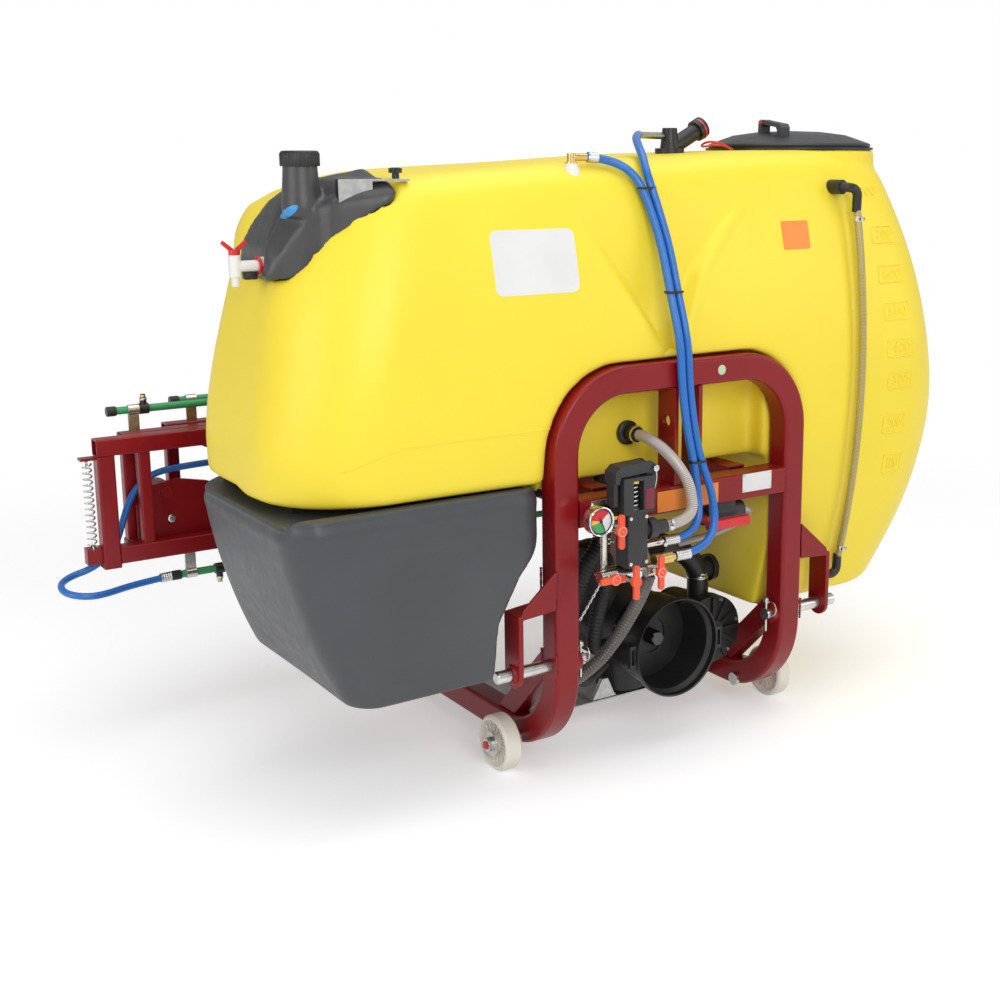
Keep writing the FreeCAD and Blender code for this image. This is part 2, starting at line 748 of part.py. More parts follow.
def make_tank_fittings():
    top = route("upper level elbow", [(level_x - 40, 110, 1256), (level_x - 40, 40, 1258),
                                      (level_x - 2, 38, 1252), (level_x, 42, level_top - 14)])
    upper = joined([swept(top, 11), rod(V(level_x - 40, 88, 1257), V(level_x - 40, 50, 1257), 17)])
    low = route("lower level elbow", [(level_x - 44, 120, 318), (level_x - 44, 72, 316),
                                      (level_x - 4, 62, 316), (level_x, 64, level_low + 14)])
    lower = swept(low, 11)
    tube_space = swept(level_arc(), 9.05)
    upper = largest(upper.cut(tube_space).cut(tank_seat))
    lower = largest(lower.cut(tube_space).cut(tank_seat))
    base = rod(V(172, 300, 1318), V(172, 300, 1346), 34).cut(tank_seat)
    tower = Part.makeCone(24, 17, 62, V(172, 300, 1330), Z)
    branch = rod(V(178, 300, 1348), V(262, 300, 1392), 19)
    flare = rod(V(248, 300, 1385), V(268, 300, 1395.5), 25)
    tee = largest(joined([base, tower, branch, flare]).cut(tank_seat))
    port = joined([rod(V(-86, 111.7, 732), V(-86, 104, 732), 27),
                   rod(V(-86, 110, 732), V(-86, 70, 733), 17)])
    rinse_cap = turned([(0, 668), (52, 668), (52, 640), (46.4, 640), (46.4, 663), (0, 663)],
                       V(-650, 0, 560), Y)
    return group([upper, lower, tee, port, rinse_cap])


# Control group on the crossbar
column_x = -185.0
column_y = -45.0
lever_hubs = ((-238, -86, 571, "up"), (-253, -86, 470, "across"),
              (-214, -106, 463, "up"), (-134, -86, 466, "up"))


def make_control_block():
    column = box(column_x - 25, column_x + 25, column_y - 22, column_y + 22, 482, 598)
    back = box(column_x - 18, column_x + 18, column_y + 20, 0, 568, 596)
    side = rod(V(column_x + 20, column_y - 5, 556), V(column_x + 84.7, column_y - 5, 556), 15)
    collar = rod(V(column_x + 34, column_y - 5, 557), V(column_x + 54, column_y - 5, 556), 23)
    tail = rod(V(column_x, column_y, 460), V(column_x, column_y, 484), 17)
    return joined([column, back, side, collar, tail]).cut(make_valves())


def make_regulator():
    body = box(column_x - 38, column_x + 42, column_y - 25, column_y + 25, 598.5, 676)
    window = box(column_x - 13, column_x + 13, column_y - 30, column_y + 14, 606, 668)
    lug = box(column_x + 30, column_x + 52, column_y - 12, column_y + 12, 664, 698)
    hinge = rod(V(column_x + 45, column_y - 40, 690), V(column_x + 45, column_y + 40, 690), 4.06)
    return joined([body, lug]).cut(window).cut(hinge)


def make_regulator_lever():
    left = column_x - 56
    right = column_x + 50
    hinge_x = column_x + 45
    top = plate([(left, 0, 668), (left, 0, 690), (left + 14, 0, 702), (right - 14, 0, 706),
                 (right, 0, 696), (right, 0, 684), (left + 14, 0, 679), (left + 10, 0, 664)],
                (0, 40, 0))
    top.translate(V(0, column_y - 20, 0))
    drop = box(left, left + 10, column_y - 14, column_y + 14, 618, 672)
    slot = box(hinge_x - 20, hinge_x + 20, column_y - 12.6, column_y + 12.6, 640, 720)
    pin = rod(V(hinge_x, column_y - 24, 690), V(hinge_x, column_y + 24, 690), 4)
    return joined([joined([top, drop]).cut(slot), pin])


def coil(centre, radius, wire, pitch, turns):
    path = Part.makeHelix(pitch, pitch * turns, radius)
    steps = 72
    turn = []
    for index in range(steps * 2):
        angle = math.radians(index * 360.0 / steps)
        turn.append(V(radius * math.cos(angle), radius * math.sin(angle), pitch * index / steps))
    least = min((a - b).Length for n, a in enumerate(turn) for b in turn[n + steps * 3 // 4:])
    print("coil of", turns, "turns, least gap to itself", round(least - 2 * wire, 2))
    profile = Part.Wire(Part.makeCircle(wire, V(radius, 0, 0), Y))
    spring = Part.Wire(path.Edges).makePipeShell([profile], True, True)
    spring.translate(centre)
    return spring


def make_regulator_spring():
    return coil(V(column_x, column_y - 8, 608.1), 8.0, 1.8, 9.63, 6)


def make_gauge():
    gx, gy, gz = -275.0, -62.0, 593.0
    case = rod(V(gx, gy, gz), V(gx, gy + 26, gz), 30)
    rim = ring(V(gx, gy - 3, gz), V(gx, gy + 6, gz), 31.5, 27)
    stem = rod(V(gx + 17, column_y, gz + 3), V(column_x - 26, column_y, gz - 1), 4.5)
    needle = box(gx - 1, gx + 1, gy - 0.5, gy + 1.5, gz - 5, gz + 20)
    return joined([case.cut(rod(V(gx, gy - 1, gz), V(gx, gy + 1, gz), 27)), rim, stem, needle])


def make_valves():
    bodies = []
    for hub_x, hub_y, hub_z, _ in lever_hubs:
        y = -52.0
        left = 4 if hub_z > 500 else 20
        body = rod(V(hub_x - left, y, hub_z), V(hub_x + 20, y, hub_z), 14)
        neck = rod(V(hub_x, y, hub_z), V(hub_x, hub_y + 10, hub_z), 6.8)
        nose = rod(V(hub_x, y, hub_z), V(hub_x, y + 36, hub_z), 9)
        bodies.append(joined([body, neck, nose]))
    link = rod(V(-253, -20, 470), V(-134, -20, 466), 11)
    riser = rod(V(-238, -20, 571), V(-238, -20, 470), 7.5)
    whole = joined(bodies + [link, riser])
    for hub_x, hub_y, hub_z, _ in lever_hubs:
        bore = rod(V(hub_x, hub_y - 20, hub_z), V(hub_x, hub_y + 31, hub_z), 5.0 + running_fit)
        whole = whole.cut(bore)
    bodies = [whole]
    plate_left = box(-262, -212, -6, 0, 590, 622)
    return group(bodies + [plate_left])


def make_valve_lever(hub):
    hub_x, hub_y, hub_z, way = hub
    knob = rod(V(hub_x, hub_y, hub_z), V(hub_x, hub_y + 9, hub_z), 12)
    stem = rod(V(hub_x, hub_y + 5, hub_z), V(hub_x, hub_y + 30, hub_z), 5)
    blade = box(hub_x - 7, hub_x + 7, hub_y + 1, hub_y + 8, hub_z - 38,
                hub_z + (24 if way == "across" else 36))
    edges = [e for e in blade.Edges if abs(e.tangentAt(e.FirstParameter).y) > 0.9]
    blade = blade.makeFillet(6.5, edges)
    if way == "across":
        blade.rotate(V(hub_x, hub_y, hub_z), Y, 90)
    return joined([knob, stem, blade])


def make_selector():
    body = rod(V(70, 34, 536), V(178, 34, 536), 24)
    socket = rod(V(62, 34, 536), V(72, 34, 536), 15)
    stay = box(100, 150, 14, 34, 545, crossbar_bottom)
    hole = rod(V(50, 34, 536), V(95, 34, 536), 7.06)
    return joined([body, socket, stay]).cut(hole)


def make_selector_handle():
    stem = rod(V(50, 34, 536), V(90, 34, 536), 7)
    crank = box(46, 58, -12, 44, 528, 544)
    grip = box(46, 160, -27, -6, 514, 536)
    edges = [e for e in grip.Edges if abs(e.tangentAt(e.FirstParameter).x) > 0.9]
    return joined([stem, crank, grip.makeFillet(6, edges)])


# Pump, guard and suction filter
def make_pump():
    case = rod(V(0, pump_face, shaft_height), V(0, 345, shaft_height), 98)
    left = rod(V(-40, 250, shaft_height + 30), V(-150, 250, shaft_height + 140), 58)
    right = rod(V(20, 250, shaft_height), V(84, 250, shaft_height + 20), 48)
    lower = rod(V(0, 250, shaft_height), V(0, 250, 86.3), 60)
    chamber = rod(V(-105, 225, 330), V(-105, 225, 452), 46)
    dome = Part.makeSphere(46, V(-105, 225, 420))
    collar = rod(V(0, pump_face - 10, shaft_height), V(0, pump_face + 5, shaft_height), 60)
    body = joined([case, left, right, lower, chamber, dome, collar])
    bore = rod(V(0, 100, shaft_height), V(0, pump_face + 40, shaft_height),
               shaft_radius + running_fit)
    return body.cut(bore)


def make_pump_feet():
    top = skid_height + pump_rail_height
    feet = []
    for x in (-84, 72):
        foot = plate([(x - 30, 200, top + 4), (x + 34, 200, top + 4), (x + 12, 200, top + 52),
                      (x - 4, 200, top + 52)], (0, 12, 0))
        sole = box(x - 30, x + 34, 200, 300, top + 4, top + 10)
        feet.append(joined([foot, sole]))
    bed = box(-inner_x + 2, 130, 196, pump_rail_y[1] + 50, top, top + 4)
    return group([joined([bed] + feet)])


def make_guard():
    radius = guard_radius
    profile = [(radius - 4, 0), (radius - 1, -2), (radius, 0), (radius, 14), (radius - 8, 24),
               (radius - 12, pump_face - 10.5 - guard_front), (44, pump_face - 10.5 - guard_front),
               (44, pump_face - 14.5 - guard_front), (radius - 16, pump_face - 14.5 - guard_front),
               (radius - 12, 24), (radius - 4, 14)]
    cup = turned(profile, V(0, guard_front, shaft_height), Y)
    loops = []
    for side in (-1, 1):
        outer = box(side * (radius + 6) - 9, side * (radius + 6) + 9, guard_front + 4,
                    guard_front + 12, shaft_height - 26, shaft_height + 26)
        hole = box(side * (radius + 8) - 4, side * (radius + 8) + 4, guard_front,
                   guard_front + 20, shaft_height - 18, shaft_height + 18)
        loops.append(outer.cut(hole))
    bore = rod(V(0, guard_front - 20, shaft_height), V(0, guard_front + 22, shaft_height),
               radius - 4)
    return joined([cup] + [l.cut(bore) for l in loops])


def make_shaft():
    start = 102.0
    shaft = rod(V(0, start, shaft_height), V(0, pump_face + 36, shaft_height), shaft_radius)
    grooves = []
    for index in range(6):
        groove = box(-3.8, 3.8, start - 5, start + 38, shaft_radius - 2.7, shaft_radius + 4)
        groove.rotate(V(0, 0, 0), Y, index * 60)
        groove.translate(V(0, 0, shaft_height))
        grooves.append(groove)
    tip = [e for e in shaft.Edges if abs(e.CenterOfMass.y - start) < 1e-6 and e.Closed]
    return shaft.makeChamfer(2.0, tip).cut(Part.makeCompound(grooves))


def make_suction_filter():
    cx, cz = 190.0, 213.0
    lid = rod(V(cx, 138, cz), V(cx, 172, cz), 84)
    bowl = Part.makeCone(78, 66, 130, V(cx, 172, cz), Y)
    ribs = []
    for index in range(12):
        rib = box(-4, 4, 130, 140, 24, 80)
        rib.rotate(V(0, 0, 0), Y, index * 30)
        rib.translate(V(cx, 0, cz))
        ribs.append(rib)
    nut = rod(V(cx, 126, cz), V(cx, 140, cz), 26)
    return joined([lid, bowl, nut] + ribs)


def make_suction_pipes():
    riser = route("filter riser", [(186, 190, 280), (186, 190, 352), (150, 190, 398), (72, 190, 428)])
    pipe = swept(riser, 26)
    cap = rod(V(180, 190, 352), V(232, 190, 352), 26)
    flange = rod(V(212, 190, 352), V(226, 190, 352), 33)
    knee = rod(V(100, 190, 417), V(62, 190, 432), 32)
    right = joined([pipe, cap, flange, knee])
    right = largest(right.cut(pieces["suction_filter"]))
    pump = pieces["pump_body"]
    thick = route("thick suction hose", [(-128, 150, centre_bottom - 8), (-134, 124, 560),
                                         (-152, 112, 490), (-205, 114, 430), (-236, 120, 330),
                                         (-236, 124, 230), (-192, 130, 166), (-126, 190, 158),
                                         (-40, 250, 158)])
    left = largest(swept(thick, 20).cut(pump))
    second = route("second suction hose", [(-105, 220, 440), (-112, 140, 448), (-146, 106, 400),
                                           (-176, 106, 300), (-166, 128, 226), (-60, 200, 214)])
    second = largest(swept(second, 17).cut(pump))
    return group([right, left, second])


# Hoses that are tied or clamped along their way
blue_a = [(-184, 120, 1326), (-132, 112, 1322), (-90, 78, 1292), (-68, 58, 1228), (-50, 36, 1140),
          (-42, 16, 1045), (-36, -14, 940), (-32, -14, 860), (-18, -14, 760), (4, -14, 676),
          (10, -22, 610), (4, -38, 552), (-36, -42, 519), (-92, -42, 519)]
blue_b = [(52, 262, 1374), (14, 220, 1371), (-22, 160, 1350), (-46, 112, 1328), (-62, 76, 1294),
          (-50, 56, 1232), (-30, 36, 1140), (-22, 16, 1045), (-16, -14, 940), (-12, -14, 860),
          (2, -14, 760), (24, -14, 676), (44, -34, 600), (40, -48, 524), (-6, -50, 484),
          (-70, -50, 484)]
tie_places = ((-67, 69, 1262), (-32, 16, 1045), (14, -14, 676))


def make_blue_hoses():
    first = hose(route("first blue hose", blue_a), 9.0, 6.0)
    second = hose(route("second blue hose", blue_b), 9.0, 6.0)
    return group([first, second])


def make_ties():
    first = swept(route("first blue hose", blue_a), 9.3)
    second = swept(route("second blue hose", blue_b), 9.3)
    ties = []
    for x, y, z in tie_places:
        band = box(x - 23, x + 23, y - 12.5, y + 12.5, z - 2.5, z + 2.5)
        edges = [e for e in band.Edges if abs(e.tangentAt(e.FirstParameter).z) > 0.9]
        band = band.makeFillet(12.2, edges)
        ties.append(largest(band.cut(first).cut(second)))
    return group(ties)


def make_return_hose():
    loop = route("return hose", [(-86, 68.8, 733), (-84, 40, 732), (-66, 4, 712), (-46, -26, 676),
                                 (-28, -46, 630), (-24, -50, 556), (-99.7, -50, 556)])
    side = route("clear hose", [(179.5, 34, 536), (214, 36, 532), (232, 66, 504),
                                (206, 104, 470), (150, 140, 446), (84, 186, 424)])
    side = largest(swept(side, 8.0).cut(pieces["suction_pipes"]))
    return group([hose(loop, 12.5, 10.0), side])


def make_suction_hose():
    path = route("suction hose", [(-122, -24, 444), (-134, -18, 405), (-150, 4, 350),
                                  (-170, 40, 280), (-205, 66, 225), (-262, 84, 190)])
    return hose(path, 15.0, 12.0)


def make_hose_fittings():
    shapes = [ring(V(-100, -42, 519), V(-60, -42, 519), 12, 9.05),
              rod(V(column_x + 25, -42, 519), V(-92.3, -42, 519), 8),
              ring(V(-74, -50, 484), V(-34, -50, 484), 12, 9.05)]
    elbow = rod(V(-130, -50, 484), V(-70.3, -50, 484), 8.5)
    knuckle = rod(V(-130, -50, 484), V(-84, -50, 484), 13)
    shapes.append(largest(joined([elbow, knuckle]).cut(make_valves())))
    shapes.append(ring(V(-96, -50, 556), V(-84, -50, 556), 15.5, 12.6))
    shapes.append(level_clamp(0.035))
    shapes.append(level_clamp(0.965))
    base = rod(V(-224, 120, 1290), V(-224, 120, 1316), 13).cut(tank_seat)
    knee = joined([rod(V(-224, 120, 1314), V(-224, 120, 1334), 9),
                   rod(V(-224, 120, 1326), V(-187, 120, 1326), 8)])
    shapes.append(joined([largest(base), knee]))
    sleeve_end = V(52, 262, 1374)
    along = V(38, 42, 3).normalize()
    nut = rod(sleeve_end + along * 0.4, sleeve_end + along * 18, 10)
    spigot = rod(sleeve_end + along * 16, V(150, 300, 1374), 8)
    shapes.append(joined([nut, spigot]).cut(pieces["tank_fittings"]))
    return group(shapes)


def make_plates():
    type_plate = box(157, 243, -1.5, 0, 583, 625)
    arrow_plate = box(-84, 86, -1.5, 0, 571, 617)
    return group([type_plate, arrow_plate])


# Folded boom
centre_back = boom_front + boom_tube
wing_fronts = (centre_back + 26.0, centre_back + 26.0 + wing_pitch)
slide_play = 0.8


def make_boom_centre():
    parts = []
    y0, y1 = boom_front, centre_back
    parts.append(square_bar(-boom_half, boom_half, y0, y1, boom_high - boom_tube, boom_high,
                            boom_wall))
    inner = boom_half - boom_tube
    parts.append(square_bar(-inner, inner, y0, y1, boom_low, boom_low + boom_tube, boom_wall))
    for side in (-1, 1):
        end = square_bar(-boom_half, -inner, y0, y1, boom_low - 8, boom_high - boom_tube, boom_wall)
        near = square_bar(-938, -910, y0 + 6, y1 - 6, boom_low + boom_tube, boom_high - boom_tube,
                          boom_wall)
        seat_top = box(-boom_half - 34, -boom_half, y0 + 14, y1, 652, 658)
        seat_low = box(-boom_half - 34, -boom_half, y0 + 14, y1, 408, 446)
        gusset = plate([(-940, centre_back, boom_low + 5), (-940, centre_back, 528),
                        (-900, centre_back, 572), (-840, centre_back, 580),
                        (-770, centre_back, 566), (-640, centre_back, 520),
                        (-640, centre_back, boom_low + 5)], (0, 8, 0))
        slide = box(-half_frame - 7, -half_frame - slide_play, rear_post_y - 38, rear_post_y + 38,
                    carriage_low, carriage_high)
        back = box(-half_frame - 7, -inner_x + 6, rear_post_y + tube / 2 + slide_play,
                   rear_post_y + 38, carriage_low, carriage_high)
        lip = box(-half_frame - 7, -half_frame + 20, rear_post_y - 38,
                  rear_post_y - tube / 2 - slide_play, carriage_low, carriage_high)
        keep = box(-inner_x + slide_play, -inner_x + 6, rear_post_y + 22, rear_post_y + 38,
                   carriage_low, carriage_high)
        arm_low = square_bar(-half_frame + 5, -inner_x - 5, rear_post_y + 38, y0, 490, 540, 3)
        arm_high = square_bar(-half_frame + 5, -inner_x - 5, rear_post_y + 38, y0, 640, 690, 3)
        strut = box(-half_frame + 10, -inner_x - 10, y0 + 4, y1 - 4, boom_low + boom_tube,
                    boom_high - boom_tube)
        bits = [end, near, seat_top, seat_low, gusset, slide, back, lip, keep, arm_low, arm_high,
                strut]
        parts.extend(b if side < 0 else mirrored(b) for b in bits)
    far = (wing_fronts[0] + 46, wing_fronts[1] + 46)
    for side, reach in ((-1, far[0]), (1, far[1])):
        x = side * wing_pivot_x
        parts.append(rod(V(x, centre_back - 8, wing_pivot_z), V(x, reach, wing_pivot_z), 10))
        parts.append(rod(V(x, centre_back - 8, wing_pivot_z), V(x, centre_back, wing_pivot_z), 14))
        parts.append(rod(V(x, reach - 5.5, wing_pivot_z), V(x, reach + 6, wing_pivot_z), 16))
    sleeve = rod(V(wing_pivot_x, centre_back, wing_pivot_z),
                 V(wing_pivot_x, wing_fronts[1] - 6.5, wing_pivot_z), 17)
    parts.append(sleeve)
    for side, reach in ((1, wing_fronts[0] + 40), (-1, wing_fronts[1] + 40)):
        x = side * 560
        parts.append(box(x - 20, x + 20, boom_front + 5, reach + 1, boom_low - 10, boom_low))
        parts.append(box(x - 20, x + 20, reach + 1, reach + 6, boom_low - 10, boom_low + 26))
    return joined(parts)


def make_wing(front):
    y0, y1 = front, front + boom_tube
    low = boom_low + 1.0
    high = 2 * wing_pivot_z - low
    parts = [square_bar(-wing_tail, wing_tip, y0, y1, high - 36, high, boom_wall),
             square_bar(-wing_tail, wing_tip, y0, y1, low, low + 36, boom_wall)]
    for x in (-wing_tail, -300, 300, wing_tip - 30):
        parts.append(square_bar(x, x + 30, y0 + 5, y1 - 5, low + 36, high - 36, boom_wall))
    for x0, x1 in ((-750, -300), (-270, 300), (330, 800)):
        slant = plate([(x0, y0 + 12, low + 36), (x0 + 26, y0 + 12, low + 36),
                       (x1, y0 + 12, high - 36), (x1 - 26, y0 + 12, high - 36)], (0, 16, 0))
        parts.append(slant)
    hub = rod(V(-wing_pivot_x, y0 - 5, wing_pivot_z), V(-wing_pivot_x, y1, wing_pivot_z), 24)
    web = plate([(-wing_tail + 10, y0 + 16, low + 30), (-wing_tail + 10, y0 + 16, 560),
                 (-800, y0 + 16, 560), (-720, y0 + 16, low + 30)], (0, 8, 0))
    wing = joined(parts + [hub, web])
    return wing.cut(rod(V(-wing_pivot_x, y0 - 20, wing_pivot_z),
                        V(-wing_pivot_x, y1 + 20, wing_pivot_z), 10 + running_fit))


def make_clamp(x, y, pipe_z, bar_z):
    # Strap that holds a pipe a little way off a square bar
    low, high = min(pipe_z, bar_z), max(pipe_z, bar_z)
    strap = box(x - 13, x + 13, y - 2, y + 2, low, high)
    band = ring(V(x - 13, y, pipe_z), V(x + 13, y, pipe_z), pipe_radius + 3, pipe_radius + 0.05)
    strap = strap.cut(rod(V(x - 20, y, pipe_z), V(x + 20, y, pipe_z), pipe_radius + 1))
    return joined([strap, band])


def make_nozzle(x, y, z, up):
    way = V(0, 0, 1 if up else -1)
    centre = V(x, y, z)
    band = ring(V(x - 11, y, z), V(x + 11, y, z), pipe_radius + 4, pipe_radius + 0.05)
    body = rod(centre + way * (pipe_radius + 2), centre + way * 26, 8)
    tip = rod(centre + way * 26, centre + way * 34, 6)
    return joined([band, body, tip])


def make_spray_line(start, end, y, z, bar_z, up, clamps, nozzles):
    tube_body = ring(V(start, y, z), V(end, y, z), pipe_radius, pipe_radius - 1.5)
    shapes = [tube_body]
    for x, way in ((start, -1), (end, 1)):
        shapes.append(rod(V(x, y, z), V(x + way * 22, y, z), pipe_radius + 2))
    shapes.extend(make_clamp(x, y, z, bar_z) for x in clamps)
    shapes.extend(make_nozzle(x, y, z, up) for x in nozzles)
    return group(shapes)


def make_boom_springs():
    left = coil(V(-1052, centre_back - 18, 448), 9.5, 2.0, 14.0, 14)
    return both_sides(left)


boom_loop = [(-878, 862, 352), (-970, 850, 350), (-1058, 800, 352), (-1102, 801, 356),
             (-1132, 830, 362), (-1132, 874, 370), (-1101, 903, 378), (-1050, 904, 388),
             (-998, 904, 420), (-974, 904, 480), (-950, 904, 548), (-905, 904, 594),
             (-830, 904, 606), (-690, 904, 607)]


def make_boom_hose():
    return both_sides(hose(route("boom hose", boom_loop), 8.0, 5.5))


pieces = {}
tank_seat = tank_form(0.3)


def build():
    outer, bow = make_bow()
    pieces["bow_frame"] = bow
    pieces["crossbar"] = make_crossbar()
    pieces["mast_ears"] = make_ears()
    pieces["link_brackets"] = both_sides(make_bracket())
    pieces["link_pins"] = both_sides(make_link_pin())
    pieces["split_pins"] = both_sides(make_split_pin())
    pieces["leg_braces"] = both_sides(make_brace(outer))
    pieces["pump_rails"] = make_pump_rails()
    posts, bars = make_rear_frame()
    pieces["rear_posts"] = posts
    rail, shelf = make_tank_rails()
    arms = [make_left_arm(160), make_left_arm(470)]
    pieces["tank_rails"] = group([rail, mirrored(rail), shelf, bars] + arms)
    axles = [make_axle(front_axle_y), make_axle(rear_axle_y)]
    pieces["wheel_axles"] = group([both_sides(a) for a in axles])
    for name, y in (("front", front_axle_y), ("rear", rear_axle_y)):
        pieces["wheel_%s_left" % name] = make_wheel(-1, y)
        pieces["wheel_%s_right" % name] = make_wheel(1, y)
    build_tanks()
    build_controls()
    build_boom()


def build_tanks():
    pieces["main_tank"] = make_main_tank()
    pieces["rinse_tank"] = make_rinse_tank()
    pieces["hand_wash_tank"] = make_wash_tank()
    pieces["filler_ring"] = make_filler_ring()
    pieces["filler_basket"] = make_basket()
    pieces["filler_lid"] = make_lid()
    pieces["hand_wash_cap"] = make_wash_cap()
    pieces["hand_wash_strap"] = make_strap()
    pieces["star_knob"] = make_star_knob()
    pieces["hand_wash_tap"] = make_tap()
    pieces["tap_handle"] = make_tap_handle()
    pieces["level_tube"] = make_level_tube()
    pieces["tank_fittings"] = make_tank_fittings()


def build_controls():
    pieces["control_block"] = make_control_block()
    pieces["regulator_body"] = make_regulator()
    pieces["regulator_lever"] = make_regulator_lever()
    pieces["regulator_spring"] = make_regulator_spring()
    pieces["pressure_gauge"] = make_gauge()
    pieces["valve_bodies"] = make_valves()
    for index, hub in enumerate(lever_hubs):
        pieces["valve_lever_%d" % (index + 1)] = make_valve_lever(hub)
    pieces["selector_valve"] = make_selector()
    pieces["selector_handle"] = make_selector_handle()
    pieces["pump_body"] = make_pump()
    pieces["pump_feet"] = make_pump_feet()
    pieces["pto_guard"] = make_guard()
    pieces["pto_shaft"] = make_shaft()
    pieces["suction_filter"] = make_suction_filter()
    pieces["suction_pipes"] = make_suction_pipes()
    pieces["blue_hoses"] = make_blue_hoses()
    pieces["cable_ties"] = make_ties()
    pieces["return_hose"] = make_return_hose()
    pieces["suction_hose"] = make_suction_hose()
    pieces["hose_fittings"] = make_hose_fittings()
    pieces["type_plates"] = make_plates()


def build_boom():
    pieces["boom_centre"] = make_boom_centre()
    pieces["boom_wing_left"] = make_wing(wing_fronts[0])
    pieces["boom_wing_right"] = mirrored(make_wing(wing_fronts[1]))
    folded_height = 2 * wing_pivot_z - pipe_height
    pieces["spray_line_centre"] = make_spray_line(-855, 855, boom_front + 12, pipe_height,
                                                  boom_low - 0.2, False, (-830, 0, 830),
                                                  (-760, -250, 250, 760))
    for name, front in zip(("left", "right"), wing_fronts):
        line = make_spray_line(-960, 790, front + boom_tube / 2, folded_height,
                               2 * wing_pivot_z - boom_low - 0.8, True,
                               (-920, 0, 760), (-895, -400, 100, 600))
        pieces["spray_line_" + name] = line if name == "left" else mirrored(line)
    pieces["boom_springs"] = make_boom_springs()
    pieces["boom_hose"] = make_boom_hose()


build()
# Origin at the middle of the whole part, on the floor
front = pieces["valve_lever_3"].BoundBox.YMin
back = pieces["boom_centre"].BoundBox.YMax
shift = -(front + back) / 2
os.makedirs("parts", exist_ok=True)
for name, shape in pieces.items():
    shape.translate(V(0, shift, 0))
    shape.exportStep("parts/%s.step" % name)
    bounds = shape.BoundBox
    print(name, len(shape.Solids), round(shape.Volume / 1e3), shape.isValid(),
          [round(v) for v in (bounds.XMin, bounds.XMax, bounds.YMin, bounds.YMax, bounds.ZMin,
                              bounds.ZMax)])
print(len(pieces), "pieces, moved along Y by", round(shift, 4))
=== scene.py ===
import json
import math
import bmesh
import bpy
import numpy as np
from mathutils import Matrix, Vector
from mathutils.bvhtree import BVHTree


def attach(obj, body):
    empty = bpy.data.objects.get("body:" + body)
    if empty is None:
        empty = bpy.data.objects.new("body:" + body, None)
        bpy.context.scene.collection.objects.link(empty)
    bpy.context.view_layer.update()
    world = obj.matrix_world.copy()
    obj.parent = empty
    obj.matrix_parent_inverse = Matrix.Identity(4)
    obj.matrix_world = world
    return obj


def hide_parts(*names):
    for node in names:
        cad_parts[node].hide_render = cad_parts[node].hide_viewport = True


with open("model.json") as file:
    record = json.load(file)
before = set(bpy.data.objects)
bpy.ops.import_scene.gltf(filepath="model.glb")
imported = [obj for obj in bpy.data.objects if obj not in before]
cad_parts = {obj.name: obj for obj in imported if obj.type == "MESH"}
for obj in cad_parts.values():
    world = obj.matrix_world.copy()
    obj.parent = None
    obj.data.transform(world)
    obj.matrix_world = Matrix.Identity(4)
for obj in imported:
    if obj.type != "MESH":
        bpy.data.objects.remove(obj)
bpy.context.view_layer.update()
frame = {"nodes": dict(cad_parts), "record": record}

nodes = frame["nodes"]
scene = bpy.context.scene

# Places below are in millimetres with Y measured back from the bow's front face
REAR = 463.0
TURN = 2 * math.pi
UP, FORWARD, BACKWARD = (0, 0, 1), (0, -1, 0), (0, 1, 0)
# Points of the CAD's separate faces that lie closer than this are one point
MERGE = 0.00002
NECK_X, NECK_Y = -790, 200
WHEEL_Z = 62.5
FILLER_X, FILLER_Y = 571, 330


def at(x, y, z):
    return Vector((x / 1000, (y - REAR) / 1000, z / 1000))


def placed(name, data):
    thing = bpy.data.objects.new(name, data)
    scene.collection.objects.link(thing)
    return thing


def baked(bm, name):
    mesh = bpy.data.meshes.new(name)
    bm.to_mesh(mesh)
    bm.free()
    return mesh


def make_camera():
    data = bpy.data.cameras.new("camera")
    data.sensor_width = 36.0
    data.lens = 50.587
    data.shift_x = -0.0862
    data.shift_y = -0.0473
    data.clip_start = 0.05
    data.clip_end = 200.0
    camera = placed("camera", data)
    turn = Matrix.Rotation(math.radians(-34.415), 4, "Z")
    tilt = Matrix.Rotation(math.radians(90 - 11.847), 4, "X")
    roll = Matrix.Rotation(math.radians(-0.109), 4, "Z")
    camera.matrix_world = Matrix.Translation(at(-1880.0, -2349.9, 1324.3)) @ turn @ tilt @ roll
    scene.camera = camera


# Materials
class Net:
    """Short ways to add nodes to a tree and to join them."""

    def __init__(self, owner):
        owner.use_nodes = True
        self.tree = owner.node_tree

    def add(self, kind, **settings):
        node = self.tree.nodes.new(kind)
        for key, value in settings.items():
            setattr(node, key, value)
        return node

    def feed(self, socket, value):
        if isinstance(value, bpy.types.NodeSocket):
            self.tree.links.new(value, socket)
        else:
            socket.default_value = value

    def math(self, kind, a, b=0.0):
        node = self.add("ShaderNodeMath", operation=kind)
        self.feed(node.inputs[0], a)
        self.feed(node.inputs[1], b)
        return node.outputs[0]


